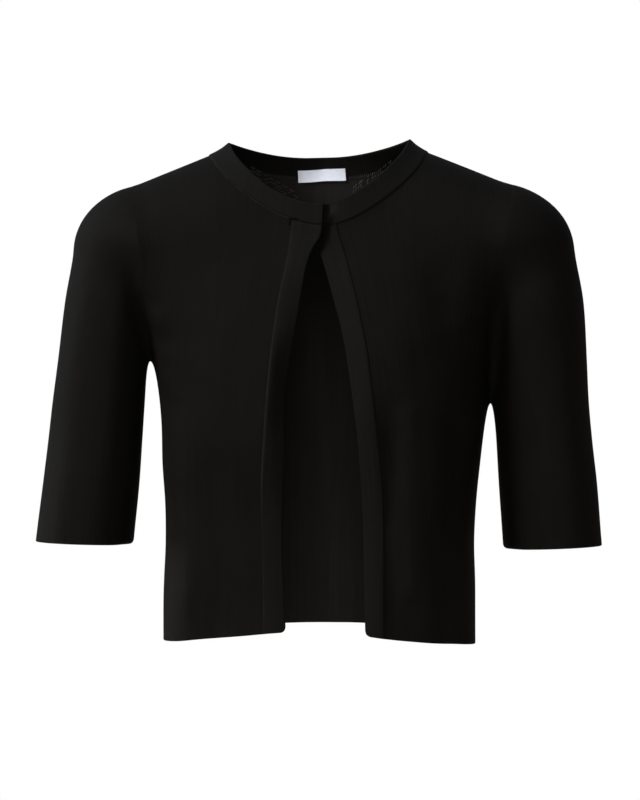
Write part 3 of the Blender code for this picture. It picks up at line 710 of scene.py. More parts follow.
# Loops of the neck's linking that show inside the back: how far each row lies below the first, how much wider
# apart the loops get with each row, how deep they lie, and the places of the first row across and up
LOOP_DROPS = (0.0, 0.0036, 0.0070, 0.0108)
LOOP_PITCH_RISE = 0.0004
LOOPS_BELOW = 0.0003
NECK_LOOPS = {
    "right": ((-0.070, -0.017), (-0.057, -0.025), (-0.047, -0.031), (-0.036, -0.037), (-0.024, -0.044)),
    "left": ((0.034, -0.038), (0.048, -0.027), (0.061, -0.020), (0.073, -0.011)),
}

# Finer creases, in front (-1) and behind (1): ends across and up, half width, height
CREASES = {
    -1: metres([
        (-66, -300, -60, -520, 30, -8),
        (-126, -230, -132, -520, 21, 7.2),
        (102, -210, 110, -560, 27, 8.2),
        (30, -150, 54, -560, 13, 2.6),
        (62, -170, 74, -540, 14, -1.6),
        (78, -330, 73, -540, 7, 0.9),
        (126, -380, 130, -545, 8, -1.2),
        (-100, -395, -108, -540, 9, -1.2),
        (138, -290, 142, -490, 14, -1.5),
        (112, -110, 132, -190, 20, -2.6),
        (-36, -185, -38, -310, 13, -3),
        (180, -120, 171, -262, 8, -4),
        (-190, -110, -172, -205, 8, -3),
        (-168, -120, -160, -205, 10, 1.6),
        (-186, -150, -150, -168, 10, -1.2),
        (-180, -178, -142, -205, 9, -1.4),
        (-160, -225, -128, -262, 8, 1),
        (186, -165, 150, -190, 10, -1.4),
        (172, -215, 138, -232, 9, -1.3),
        (160, -262, 126, -290, 8, 1.1),
        (-120, -400, -118, -480, 7, -0.7),
        (-78, -380, -74, -470, 8, 0.7),
        (108, -360, 112, -470, 6, -0.8),
        (146, -330, 143, -420, 6, 0.7),
        (-215, -215, -220, -330, 9, -0.9),
        (-245, -170, -257, -300, 10, 0.7),
        (205, -230, 212, -340, 9, -1),
        (240, -180, 252, -320, 10, 0.8),
    ]),
    1: metres([
        (-184, -160, -140, -186, 10, -1.4),
        (184, -180, 142, -205, 10, -1.4),
        (88, -220, 96, -540, 26, 5.6),
        (128, -300, 124, -530, 15, -2.6),
        (-78, -260, -70, -550, 26, -5.2),
        (-122, -230, -130, -530, 22, 4.6),
        (18, -320, 10, -540, 20, -2),
        (128, -110, 156, -215, 14, -2.4),
        (-130, -105, -158, -205, 14, -2.6),
        (60, -105, 92, -190, 20, -1.8),
        (-50, -95, -96, -180, 22, -1.8),
        (-50, -330, -60, -410, 10, -1),
        (-218, -220, -226, -340, 9, -1),
        (214, -240, 224, -350, 9, -1),
    ]),
}

# How far the creases bend, and how fast up the garment and across it; the depth over which they come in from
# the form's middle, and the share of their length over which they fade at each end
CREASE_BEND = 0.003
BEND_RATES = (31, 9)
CREASE_DEEP = 0.02
CREASE_ENDS = 0.35

# Beside the closure the left front is tucked in, between ends across and up, and the right end stands proud
TUCK = np.array([(0.0085, -0.064), (-0.0035, -0.104)])
TUCK_HALF = 0.0052
TUCK_DEPTH = 0.0072
END_LIFT = 0.0012
END_REACH = 0.9
END_FROM = -0.012
END_FADE = 0.014

# The knit: width of a wale and height of a course, on the panels and on the bands
WALE = 0.0014
COURSE = 0.0011
BAND_WALE = 0.0012
BAND_COURSE = 0.0010


def crease_height(points):
    """How far the finer creases lift the cloth."""
    seen = points[..., [0, 2]]
    seen[..., 0] += CREASE_BEND * np.sin(BEND_RATES[0] * seen[..., 1] + BEND_RATES[1] * seen[..., 0])
    return ridges(points, seen, CREASES, CREASE_DEEP, CREASE_ENDS)


def closure_shift(points, name):
    """How far the closure moves the cloth out: the left front is tucked in, the right end stands proud."""
    share, away = beside_line(points[..., [0, 2]], *TUCK)
    front = smooth_step(-points[..., 1] / CREASE_DEEP)
    if name == "left":
        return -TUCK_DEPTH * front * np.exp(-((away / TUCK_HALF) ** 2))
    beside = smooth_step((points[..., 0] - END_FROM) / END_FADE)
    return END_LIFT * front * beside * smooth_step(1 - np.abs(share - 0.5) / END_REACH)


def worn_lift(points, right):
    """How far the lap and the closure move the cloth out; right tells which points are the right front's."""
    moves = (lap_lift(points, name) + closure_shift(points, name) for name in ("right", "left"))
    return np.where(right, *moves)


def row_keys(grid):
    """The mean distance of each row from the first one."""
    steps = np.linalg.norm(np.diff(grid, axis=0), axis=-1).mean(-1)
    return np.concatenate([[0], np.cumsum(np.maximum(steps, SMALL))])


def resampled(grid, keys, at):
    """The grid's rows at these keys, on smooth curves through the rows that it has."""
    table = np.concatenate([keys[:, None], grid.reshape(len(keys), -1)], axis=1)
    return between_rows(table, at).reshape(len(at), *grid.shape[1:])


def fine_places(length, step):
    """Distances along a side: even steps, with a few closer ones at both ends."""
    low = np.array(EDGE_STEPS)
    high = length - low[::-1]
    count = max(2, int(round((high[0] - low[-1]) / step)))
    return np.concatenate([low, np.linspace(low[-1], high[0], count + 1)[1:-1], high])


def finer(grid, step=FINE_STEP, ring=False):
    """The grid in fine steps, the distances up its columns and over its rows, and the length of its rows."""
    keys = row_keys(grid)
    up = fine_places(keys[-1], step)
    columns = np.swapaxes(resampled(grid, keys, up), 0, 1)
    if ring:
        count = len(columns)
        columns = np.concatenate([columns[-RING_LAP:], columns, columns[:RING_LAP + 1]])
        keys = row_keys(columns)
        keys -= keys[RING_LAP]
        length = keys[RING_LAP + count]
        over = np.linspace(0, length, int(round(length / step)), endpoint=False)
    else:
        keys = row_keys(columns)
        over = fine_places(keys[-1], step)
        length = keys[-1]
    return np.swapaxes(resampled(columns, keys, over), 0, 1), up, over, length


def edge_distances(grid, ring):
    """Each point's distance from the grid's edges, along its rows and columns."""
    steps = np.linalg.norm(np.diff(grid, axis=0), axis=-1)
    up = np.concatenate([0 * steps[:1], np.cumsum(steps, axis=0)])
    if ring:
        return {"bottom": up, "top": up[-1:] - up}
    steps = np.linalg.norm(np.diff(grid, axis=1), axis=-1)
    over = np.concatenate([0 * steps[:, :1], np.cumsum(steps, axis=1)], axis=1)
    return {"bottom": up, "top": up[-1:] - up, "start": over, "end": over[:, -1:] - over}


def shaped_wall(grid, normals, wall, seams, free, ring=False):
    """The inner and outer faces of a piece, grooved towards its seams and rounded at its free edges.

    seams gives how deep the groove is at each seam, as a share of a full one.
    """
    distances = edge_distances(grid, ring)
    groove = np.zeros(grid.shape[:2])
    for name, share in seams.items():
        groove = np.maximum(groove, share * np.exp(-((distances[name] / GROOVE_WIDTH) ** 2)))
    closing = np.zeros(grid.shape[:2])
    for name in free:
        near = np.clip(1 - distances[name] / (wall * ROUNDED_SHARE), 0, 1)
        closing = np.maximum(closing, 1 - np.sqrt(np.maximum(1 - near**2, 0)))
    rise = crease_height(grid)
    middle = rise - PANEL_WALL + wall / 2
    half = wall / 2 * (1 - CLOSED_SHARE * closing)
    sink = GROOVE_DEPTH + (wall - PANEL_WALL) * STEP_SHARE
    outer = grid + (middle + half - sink * groove)[..., None] * normals
    inner = grid + (middle - half - INNER_SHARE * GROOVE_DEPTH * groove)[..., None] * normals
    return inner, outer


def add_item(name, data):
    item = bpy.data.objects.new(name, data)
    bpy.context.scene.collection.objects.link(item)
    return item


def new_piece(name, vertices, faces, *materials):
    """A smooth mesh as an object of the scene."""
    mesh = bpy.data.meshes.new(name)
    mesh.from_pydata(vertices.tolist(), [], faces)
    mesh.polygons.foreach_set("use_smooth", np.ones(len(faces), bool))
    for material in materials:
        mesh.materials.append(material)
    return add_item(name, mesh)


def cloth_piece(name, faces_of_wall, up, over, materials, length=None):
    """A closed piece from its inner and outer faces; length is given for a ring, whose rows are closed.

    The wales run up the grid's columns. Places in the knit are in metres, across the wales and along them.
    """
    inner, outer = faces_of_wall
    rows, columns = inner.shape[:2]
    count = rows * columns
    far = over[1:] if length is None else np.concatenate([over[1:], [length]])
    row, column = grid_places(rows - 1, len(far))
    beside = (column + 1) % columns
    quads = np.stack([column, beside, columns + beside, columns + column], axis=-1) + (row * columns)[:, None]
    across = np.stack([over[column], far[column], far[column], over[column]], axis=-1)
    along = np.stack([up[row], up[row], up[row + 1], up[row + 1]], axis=-1)
    places = np.stack([across, along], axis=-1)
    parts = [(quads + count, places, 0), (quads[:, ::-1], places[:, ::-1], 1)]

    def add_rim(first, second, start, end, step, turned_over):
        rim = np.stack([first, second, second + count, first + count], axis=-1)
        start, end = (np.stack(np.broadcast_arrays(*place), axis=-1) for place in (start, end))
        places = np.stack([start, end, end + step, start + step], axis=1)
        parts.append((rim[:, ::-1], places[:, ::-1], 0) if turned_over else (rim, places, 0))

    column = np.arange(len(far))
    for edge in (0, rows - 1):
        first, second = edge * columns + column, edge * columns + (column + 1) % columns
        add_rim(first, second, (over[column], up[edge]), (far, up[edge]), (0.0, RIM), edge > 0)
    if length is None:
        row = np.arange(rows - 1)
        for edge in (0, columns - 1):
            first = row * columns + edge
            start, end = (over[edge], up[:-1]), (over[edge], up[1:])
            add_rim(first, first + columns, start, end, (RIM, 0.0), edge == 0)
    faces = np.concatenate([part[0] for part in parts])
    places = np.concatenate([part[1] for part in parts])
    sides = np.concatenate([np.full(len(part[0]), part[2]) for part in parts])
    vertices = np.concatenate([inner.reshape(-1, 3), outer.reshape(-1, 3)])
    if signed_volume(vertices, faces) < 0:
        faces, places = faces[:, ::-1], places[:, ::-1]
    piece = new_piece(name, vertices, faces.tolist(), *materials)
    piece.data.polygons.foreach_set("material_index", sides.astype(np.int32))
    layer = piece.data.uv_layers.new(name="knit")
    layer.data.foreach_set("uv", places.astype(np.float32).reshape(-1))
    sharpen(piece.data, faces[2 * len(quads):], count)
    return piece


def grid_places(rows, columns):
    """Row and column numbers of a grid's places, one after another."""
    return (index.ravel() for index in np.meshgrid(np.arange(rows), np.arange(columns), indexing="ij"))


def sharpen(mesh, rim, count):
    """Marks the edges between a wall's faces and its rim sharp, so that each side keeps its own shading."""
    ends = np.empty(len(mesh.edges) * 2, np.int32)
    mesh.edges.foreach_get("vertices", ends)
    ends = np.sort(ends.reshape(-1, 2), axis=1)
    corners = [rim[:, [corner, (corner + 1) % 4]] for corner in range(4)]
    rim_ends = np.sort(np.concatenate(corners), axis=1)
    rim_ends = rim_ends[(rim_ends[:, 0] < count) == (rim_ends[:, 1] < count)]
    sharp = np.isin(ends @ [2 * count, 1], rim_ends @ [2 * count, 1])
    layer = mesh.attributes.new("sharp_edge", "BOOLEAN", "EDGE")
    layer.data.foreach_set("value", sharp)


def along_curve(curve, pitch, ring=False):
    """Evenly spaced distances along a curve, and a function that gives its points there."""
    line = np.concatenate([curve, curve[:1]]) if ring else curve
    steps = np.linalg.norm(np.diff(line, axis=0), axis=-1)
    keys = np.concatenate([[0], np.cumsum(steps)])
    count = max(2, int(round(keys[-1] / pitch)))
    at = np.linspace(0, keys[-1], count, endpoint=not ring)
    return at, lambda places: np.stack([np.interp(places, keys, line[:, k]) for k in range(3)], axis=-1)


def inside_cloth(points, depth):
    """Points moved in from the outer face to this depth, creases and all."""
    return points + (crease_height(points) - depth)[..., None] * outward(points)


def thread_piece(name, paths, normals, radii, material, ring=False):
    """Round threads along paths of equal point counts; radii gives each one's half width and half height.

    ring closes each path on itself, otherwise its ends are narrowed and capped.
    """
    ways = np.roll(paths, -1, axis=1) - np.roll(paths, 1, axis=1) if ring else np.gradient(paths, axis=1)
    ways = unit(ways)
    across = unit(np.cross(ways, normals))
    up = np.cross(across, ways)
    count, steps = paths.shape[:2]
    swell = np.ones(steps)
    if not ring:
        swell[[0, -1]] = THREAD_END
    turns = np.linspace(0, 2 * np.pi, THREAD_SIDES, endpoint=False)[:, None]
    around = radii[0] * np.cos(turns) * across[:, :, None] + radii[1] * np.sin(turns) * up[:, :, None]
    vertices = (paths[:, :, None] + swell[:, None, None] * around).reshape(-1, 3)
    step, turn = grid_places(steps if ring else steps - 1, THREAD_SIDES)
    beside = (turn + 1) % THREAD_SIDES
    here, after = step * THREAD_SIDES, (step + 1) % steps * THREAD_SIDES
    quads = np.stack([here + turn, after + turn, after + beside, here + beside], axis=-1)
    first = np.arange(count)[:, None, None] * steps * THREAD_SIDES
    faces = (quads[None] + first).reshape(-1, 4).tolist()
    if not ring:
        cap = np.arange(THREAD_SIDES)
        caps = np.stack([cap, cap[::-1] + (steps - 1) * THREAD_SIDES])
        faces += (caps[None] + first).reshape(-1, THREAD_SIDES).tolist()
    return new_piece(name, vertices, faces, material)


def stitch_paths(curve, stitch, depth, ring=False):
    """Paths and normals of short bowed stitches across a seam, at this depth under the outer face."""
    pitch, width, slant, height = stitch
    at, places = along_curve(curve, pitch, ring)
    middle = places(at)
    ways = unit(places(np.minimum(at + pitch / 2, at[-1] + pitch)) - places(np.maximum(at - pitch / 2, 0)))
    normals = outward(middle)
    sides = np.cross(ways, normals)
    number = np.arange(len(at))
    uneven = sum(share * np.sin(turn * number) for share, turn in UNEVEN)[:, None, None]
    reach = (width / 2) * (1 + uneven)
    lean = (slant / 2) * (1 + 2 * uneven)
    paths = middle[:, None] + reach * BOW * sides[:, None] + lean * BOW * ways[:, None]
    sign = 1 if depth < PANEL_WALL / 2 else -1
    lift = crease_height(middle) + worn_lift(middle, middle[:, 0] < 0) - depth
    bow = sign * height * (1 - BOW**2) + lift[:, None, None]
    return paths + bow * normals[:, None], np.repeat(normals[:, None], len(BOW), axis=1)


def signed_volume(vertices, faces):
    first, second, third, fourth = (vertices[faces[:, corner]] for corner in range(4))
    twice = np.cross(first, second) * third + np.cross(first, third) * fourth
    return float(twice.sum()) / 6


# Materials
class Nodes:
    """Adds shader nodes to a material or world, and links them by their sockets."""

    def __init__(self, owner, shader="Principled BSDF"):
        self.owner = owner
        owner.use_nodes = True
        self.tree = owner.node_tree
        self.shader = self.tree.nodes[shader]

    def fill(self, node, values):
        """Gives a node's sockets these values or links."""
        for name, value in values.items():
            if isinstance(value, bpy.types.NodeSocket):
                self.tree.links.new(value, node.inputs[name])
            else:
                node.inputs[name].default_value = value

    def surface(self, values):
        self.fill(self.shader, values)
        return self.owner

    def new(self, kind, values, **settings):
        """The outputs of a new node."""
        node = self.tree.nodes.new(kind)
        for name, value in settings.items():
            setattr(node, name, value)
        self.fill(node, values)
        return node.outputs

    def math(self, operation, *values, clamp=False):
        return self.new("ShaderNodeMath", dict(enumerate(values)), operation=operation, use_clamp=clamp)[0]

    def plus(self, first, second):
        return self.math("ADD", first, second)

    def times(self, first, second, clamp=False):
        return self.math("MULTIPLY", first, second, clamp=clamp)

    def wave(self, value, rate, shape="SINE"):
        return self.math(shape, self.times(value, rate))

    def noise(self, vector, scale, detail=2.0, roughness=0.5):
        values = {"Vector": vector, "Scale": scale, "Detail": detail, "Roughness": roughness}
        return self.new("ShaderNodeTexNoise", values)["Fac"]

    def stretched_noise(self, vector, scale, detail, roughness=0.5):
        stretched = self.new("ShaderNodeMapping", {"Vector": vector, "Scale": scale})[0]
        return self.noise(stretched, 1.0, detail, roughness)

    def place(self):
        return self.new("ShaderNodeUVMap", {}, uv_map="knit")[0]

    def solid_place(self):
        return self.new("ShaderNodeTexCoord", {})["Object"]

    def parts(self, vector):
        return self.new("ShaderNodeSeparateXYZ", {0: vector})

    def color(self, factor, low, high):
        """A mix of two colours, of which each is a socket or red, green and blue."""
        low, high = (each if isinstance(each, bpy.types.NodeSocket) else (*each, 1.0) for each in (low, high))
        return self.new("ShaderNodeMix", {"Factor": factor, "A": low, "B": high}, data_type="RGBA")["Result"]

    def bump(self, height, distance, strength, **more):
        values = {"Distance": distance, "Strength": strength, "Height": height, **more}
        return self.new("ShaderNodeBump", values)[0]


def face_stitches(nodes, across, along):
    """Height of the V-shaped stitches on the face of a plain knit, measured in wales and courses."""
    from_middle = nodes.math("ABSOLUTE", nodes.math("SUBTRACT", nodes.math("FRACT", across), 0.5))
    leg = nodes.wave(from_middle, 2 * np.pi)
    loop = nodes.wave(nodes.math("FRACT", nodes.plus(along, nodes.times(from_middle, -1.3))), np.pi)
    return nodes.math("POWER", nodes.times(leg, loop, True), 0.6)


def purl_stitches(nodes, across, along):
    """Height of the bumps on the back of a plain knit, in rows of small arches."""
    turn = nodes.wave(across, 2 * np.pi, "COSINE")
    bump = nodes.wave(nodes.math("FRACT", nodes.plus(along, nodes.times(turn, 0.18))), np.pi)
    knob = nodes.plus(nodes.times(turn, 0.3), 0.7)
    return nodes.math("POWER", nodes.times(bump, knob, True), 0.8)


def knit_material(name, stitches, wale, course, dark, light, depth=0.0003):
    """Matt black knit: stitches, uneven wales and a slight fuzz, with painted shade in the low places of the
    stitches.
    """
    nodes = Nodes(bpy.data.materials.new(name))
    place = nodes.place()
    across, along = nodes.parts(place)[:2]
    height = stitches(nodes, nodes.math("DIVIDE", across, wale), nodes.math("DIVIDE", along, course))
    wales = nodes.stretched_noise(place, (260.0, 9.0, 1.0), 3.0, 0.6)
    patches = nodes.stretched_noise(place, (38.0, 26.0, 1.0), 3.0, 0.55)
    fibres = nodes.stretched_noise(place, (1900.0, 1900.0, 1.0), 2.0, 0.7)
    uneven = nodes.plus(nodes.times(wales, 0.55), nodes.times(patches, 0.25))
    uneven = nodes.plus(nodes.plus(uneven, nodes.times(fibres, 0.20)), -0.2)
    # Painted shade: the colour is darker where the stitches lie low and lighter on their tops.
    tone = nodes.times(uneven, nodes.plus(nodes.times(height, 0.7), 0.5))
    relief = nodes.bump(wales, 0.0012, 0.4)
    relief = nodes.bump(nodes.plus(height, nodes.times(fibres, 0.4)), depth, 0.8, Normal=relief)
    return nodes.surface({
        "Base Color": nodes.color(tone, dark, light), "Normal": relief,
        "Roughness": 0.62, "Specular IOR Level": 0.04,
    })


def thread_material(name, dark, light, gloss=0.3):
    """Twisted sewing thread."""
    nodes = Nodes(bpy.data.materials.new(name))
    place = nodes.solid_place()
    twist = nodes.noise(place, 2600.0, 2.0, 0.6)
    tone = nodes.times(twist, nodes.plus(nodes.noise(place, 140.0), 0.4), True)
    return nodes.surface({
        "Base Color": nodes.color(tone, dark, light), "Normal": nodes.bump(twist, 0.0001, 0.6),
        "Roughness": 0.6, "Specular IOR Level": gloss,
    })


def satin_material():
    """White woven satin with fine floats across it."""
    nodes = Nodes(bpy.data.materials.new("label_satin_woven"))
    place = nodes.place()
    across, along = nodes.parts(place)[:2]
    floats = nodes.wave(across, 2 * np.pi / 0.0009)
    weave = nodes.plus(nodes.wave(along, 2 * np.pi / 0.00035), nodes.times(floats, 0.4))
    patches = nodes.stretched_noise(place, (220.0, 400.0, 1.0), 2.0)
    return nodes.surface({
        "Base Color": nodes.color(patches, (0.58, 0.59, 0.65), (0.70, 0.71, 0.76)),
        "Normal": nodes.bump(weave, 0.00008, 0.6),
        "Roughness": 0.45, "Specular IOR Level": 0.4, "Sheen Weight": 0.1,
    })


def metal_material():
    """Black lacquered metal with a fine worn grain."""
    nodes = Nodes(bpy.data.materials.new("stud_lacquer"))
    grain = nodes.noise(nodes.solid_place(), 900.0, 3.0)
    return nodes.surface({
        "Base Color": nodes.color(grain, (0.012, 0.012, 0.012), (0.035, 0.034, 0.033)),
        "Normal": nodes.bump(grain, 0.00005, 0.4), "Roughness": 0.35, "Metallic": 0.6,
    })


# Building the pieces
def level_line(points, direction):
    """Points of the outer face behind or in front of these places across and up."""
    return leave_form(np.array([(x, 0.0, z) for x, z in points]), direction)


def rounded_corner(grid, distances, sides, radius):
    """The grid with its corner between two named edges drawn in to a round one."""
    first, second = (np.clip(1 - distances[name] / radius, 0, 1) for name in sides)
    up, over = unit(grid[1] - grid[0]), unit(grid[:, -2] - grid[:, -1])
    pull_up = radius * first * (1 - np.sqrt(1 - second**2 / 2))
    pull_over = radius * second * (1 - np.sqrt(1 - first**2 / 2))
    return grid + pull_up[..., None] * up[None] + pull_over[..., None] * over[:, None]


def curled_cuff(grid, distances, normals):
    """The sleeve with its cuff's edge drawn in on the side towards the body."""
    near = np.clip(1 - distances["top"] / CUFF_CURL, 0, 1)
    inwards = smooth_step((-np.sign(grid[..., 0]) * normals[..., 0] - CUFF_FACING) / CUFF_FADE)
    return grid - (CUFF_CURL * inwards * (1 - np.sqrt(1 - near**2)))[..., None] * normals


def placed(piece):
    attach(piece, "root")


def finish_piece(piece, node):
    """Puts a piece of cloth in the place of its node, which it hides."""
    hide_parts(node)
    placed(piece)


def front_grid(name, armhole, shoulder, seam):
    side = np.sign(armhole[0, 0])
    start_turn = np.degrees(np.arctan2(abs(seam[0, 0]), -seam[0, 1]))
    hem = hem_curve(side * np.linspace(start_turn, 90.0, HEM_POINTS), False)
    bottom = spaced(np.concatenate([seam[:1], hem[1:]]), FRONT_NECK_STEPS + SHOULDER_STEPS)
    top = np.concatenate([neck_ring(front_neck(name)[1], 1), shoulder[1:]])
    end = np.concatenate([side_seam(armhole[0]), armhole[1:]])
    start = seam.copy()
    start[-1] = top[0]
    end[0] = bottom[-1]
    return closer_column(patch(bottom, top, start, end), True)


def back_grid(armholes, shoulders):
    steps = BACK_NECK_STEPS + 2 * SHOULDER_STEPS
    turns = -90.0 - np.linspace(0.0, 180.0, 2 * HEM_POINTS)
    bottom = spaced(hem_curve(turns, True), steps)
    neck = neck_ring(BACK_TURNS, 1)
    top = np.concatenate([shoulders["right"][::-1], neck[1:-1], shoulders["left"]])
    edges = []
    for name, corner in (("right", bottom[0]), ("left", bottom[-1])):
        edge = np.concatenate([side_seam(armholes[name][0]), armholes[name][1:]])
        edge[0] = corner
        edges.append(edge)
    return closer_column(closer_column(patch(bottom, top, *edges), True), False)


def band_grid(name, seam):
    """A front band on the form: rows from the hem to the neck, columns from its seam to its free edge."""
    top = neck_ring(front_neck(name)[0][::-1], 1)
    free = between_rows(FRONT_EDGES[name], seam[:, 2])[:, 0]
    shares = np.linspace(0, 1, BAND_STEPS + 1)
    across = seam[:, None, 0] + (free - seam[:, 0])[:, None] * shares
    across[-1] = top[:, 0]
    heights = np.repeat(seam[:, None, 2], BAND_STEPS + 1, axis=1)
    rows = np.arange(len(seam))[:, None]
    heights += (top[:, 2] - top[0, 2]) * smooth_step(1 - (len(seam) - 1 - rows) / BAND_TOP_ROWS)
    heights += (hem_height(across[0], False) - seam[0, 2]) * smooth_step(1 - rows / BAND_HEM_ROWS)
    grid = leave_form(np.stack([across, 0 * across, heights], axis=-1), FRONT)
    grid[:, 0], grid[-1] = seam, top
    return grid


def neckband_grid():
    """The neckband on the form, from its seam to its top edge, right end round the back to the left end."""
    right_band, right_front = front_neck("right")
    left_band, left_front = front_neck("left")
    turns = np.concatenate([
        right_band, right_front[1:], BACK_TURNS[1:], left_front[-2::-1] - 360.0, left_band[-2::-1] - 360.0,
    ])
    right_more = neck_turn("right", 0, 0) - turns[0]
    left_more = neck_turn("left", 0, 0) - 360.0 - turns[-1]
    top_turns = turns + right_more * smooth_step(1 - (turns[0] - turns) / END_TURNS)
    top_turns += left_more * smooth_step(1 - (turns - turns[-1]) / END_TURNS)
    seam, top = neck_ring(turns, 1), neck_ring(top_turns, 0)
    shares = np.linspace(0, 1, NECKBAND_STEPS + 1)[:, None, None]
    grid = seam + (top - seam) * shares
    grid[1:-1] = onto_form(grid[1:-1])
    return grid


def label_cloth():
    """The woven label: its ends are folded under and sewn down, and it stands off a little between them."""
    across = np.linspace(-LABEL_LENGTH / 2, LABEL_LENGTH / 2, LABEL_COUNTS[0])
    up = np.linspace(*LABEL_UP, LABEL_COUNTS[1])[:, None]
    height, waves, phase = LABEL_WAVES
    bend = height * np.sin(waves * np.pi * across / LABEL_LENGTH + phase)
    places = np.stack(np.broadcast_arrays(
        LABEL_ACROSS + across - up * LABEL_TILT, 0.0, LABEL_HEIGHT + up + bend + across * LABEL_TILT
    ), axis=-1)
    grid = leave_form(places, -FRONT, LABEL_REACH)
    normals = outward(grid)
    share = np.abs(2 * across / LABEL_LENGTH)
    stand = LABEL_STAND * (1 - share**2) * (LABEL_FLAT - up / LABEL_DEPTH)
    stand = stand + LABEL_END * smooth_step((share - LABEL_END_FROM) / LABEL_END_FADE)
    near = grid - (PANEL_WALL + LABEL_CLEARANCE) * normals
    far = near - (LABEL_WALL + stand)[..., None] * normals
    up, across = (up - up[0])[:, 0], across - across[0]
    return cloth_piece("label_cloth", (near, far), up, across, (satin, satin)), far


half_turn = np.linspace(0, np.pi, ARMHOLE_STEPS + 1)
whole_turn = np.linspace(0, 2 * np.pi, 2 * ARMHOLE_STEPS, endpoint=False)
front_armholes, back_armholes, shoulders, seams, sleeves = {}, {}, {}, {}, {}
for name, side in (("right", -1), ("left", 1)):
    front_armholes[name] = sleeve_rings(name, [0.0], half_turn)[0]
    back_armholes[name] = sleeve_rings(name, [0.0], -half_turn)[0]
    sleeves[name] = sleeve_rings(name, np.linspace(0, 1, SLEEVE_STEPS + 1), whole_turn)
    neck = neck_ring(np.array([side * SHOULDER_TURN]), 1)[0]
    shoulders[name] = shoulder_seam(neck, front_armholes[name][-1])
    seams[name] = band_seam(name)

panel, band = (WALE, COURSE), (BAND_WALE, BAND_COURSE)
face = knit_material("knit_face", face_stitches, *panel, (0.0019, 0.0015, 0.0012), (0.0067, 0.0055, 0.0045))
purl = knit_material("knit_purl", purl_stitches, *panel, (0.0062, 0.0054, 0.0047), (0.0200, 0.0176, 0.0152))
band_face = knit_material(
    "band_face", face_stitches, *band, (0.0023, 0.0020, 0.0017), (0.0080, 0.0069, 0.0060), 0.00025
)
white_thread = thread_material("label_thread", (0.45, 0.45, 0.45), (0.80, 0.80, 0.79))
purl_binding = thread_material("allowance_binding", (0.0040, 0.0040, 0.0040), (0.0150, 0.0145, 0.0140))
satin, lacquer = satin_material(), metal_material()

grid, up, over, _ = finer(back_grid(back_armholes, shoulders))
grid = onto_form(grid, 2)
walls = shaped_wall(grid, outward(grid), PANEL_WALL, GROOVES["back"], ("bottom",))
finish_piece(cloth_piece("back_cloth", walls, up, over, (face, purl)), "back")
for name in ("right", "left"):
    grid, up, over, _ = finer(front_grid(name, front_armholes[name], shoulders[name], seams[name]))
    grid = onto_form(grid, 2)
    normals = outward(grid)
    grid = grid + worn_lift(grid, name == "right")[..., None] * normals
    walls = shaped_wall(grid, normals, PANEL_WALL, GROOVES["front"], ("bottom",))
    piece = cloth_piece(f"front_{name}_cloth", walls, up, over, (face, purl))
    finish_piece(piece, f"front_{name}")

    grid, up, over, width = finer(band_grid(name, seams[name]), BAND_FINE_STEP)
    grid[:, :-1] = onto_form(grid[:, :-1], 2)
    normals = outward(grid)
    turn = between_rows(BAND_TURN, grid[..., 2])[..., 0 if name == "right" else 1] * (over / width) ** 1.5
    grid = grid + (worn_lift(grid, name == "right") - turn)[..., None] * normals
    own = unit(np.cross(np.gradient(grid, axis=1), np.gradient(grid, axis=0)))
    own *= np.sign((own * normals).sum(-1, keepdims=True))
    grid = rounded_corner(grid, edge_distances(grid, False), ("bottom", "end"), CORNER_RADIUS)
    walls = shaped_wall(grid, own, BAND_WALL, GROOVES["band"], ("bottom", "end"))
    piece = cloth_piece(f"band_{name}_cloth", walls, up, over, (band_face, band_face))
    finish_piece(piece, f"band_{name}")

    grid, up, over, length = finer(sleeves[name], ring=True)
    grid = onto_form(grid, 2)
    normals = outward(grid)
    grid = curled_cuff(grid, edge_distances(grid, True), normals)
    walls = shaped_wall(grid, normals, PANEL_WALL, GROOVES["sleeve"], ("top",), True)
    piece = cloth_piece(f"sleeve_{name}_cloth", walls, up, over, (face, purl), length)
    finish_piece(piece, f"sleeve_{name}")

grid, up, over, _ = finer(neckband_grid(), NECKBAND_FINE_STEP)
grid = onto_form(grid, 2)
normals = outward(grid)
rise = NECK_RISE * (up / up[-1])[:, None] * smooth_step(1 + grid[..., 1] / NECK_RISE_FADE)
grid = grid + rise[..., None] * UPWARD
lift = worn_lift(grid, np.arange(grid.shape[1]) < grid.shape[1] / 2)
grid = grid + lift[..., None] * normals
walls = shaped_wall(grid, normals, BAND_WALL, GROOVES["neckband"], ("top", "start", "end"))
piece = cloth_piece("neckband_cloth", walls, up, over, (band_face, band_face))
finish_piece(piece, "neckband")

# Bound seam allowances and their overlock stitches, inside the sides, armholes, shoulders and sleeves
thread = thread_material("sewing_thread", (0.006, 0.006, 0.006), (0.030, 0.029, 0.028))
light_thread = thread_material("linking_thread", (0.010, 0.010, 0.009), (0.060, 0.058, 0.054))
# Near-black, dull thread for the bar tacks: the black thread itself, darkened further as painted shade.
shade_dark_tack_thread = thread_material("bar_tack_thread_painted_shade", (0.0010, 0.0010, 0.0010), (0.0040, 0.0038, 0.0036), 0.02)
for name in ("right", "left"):
    allowances = (
        ("side", side_seam(front_armholes[name][0]), False),
        ("armhole", sleeves[name][0], True),
        ("shoulder", shoulders[name], False),
        ("underarm", sleeves[name][:, 0], False),
    )
    for seam_name, curve, ring in allowances:
        at, places = along_curve(curve, ALLOWANCE_STEP, ring)
        line = places(at if ring else at[1:-1])
        path = inside_cloth(line, ALLOWANCE_DEPTH)[None]
        placed(thread_piece(
            f"{seam_name}_allowance_{name}", path, outward(line)[None], ALLOWANCE, purl_binding, ring
        ))
        stitches = stitch_paths(line, OVERLOCK, ALLOWANCE_DEPTH + OVERLOCK_BELOW, ring)
        placed(thread_piece(f"{seam_name}_overlock_{name}", *stitches, THREAD, thread))

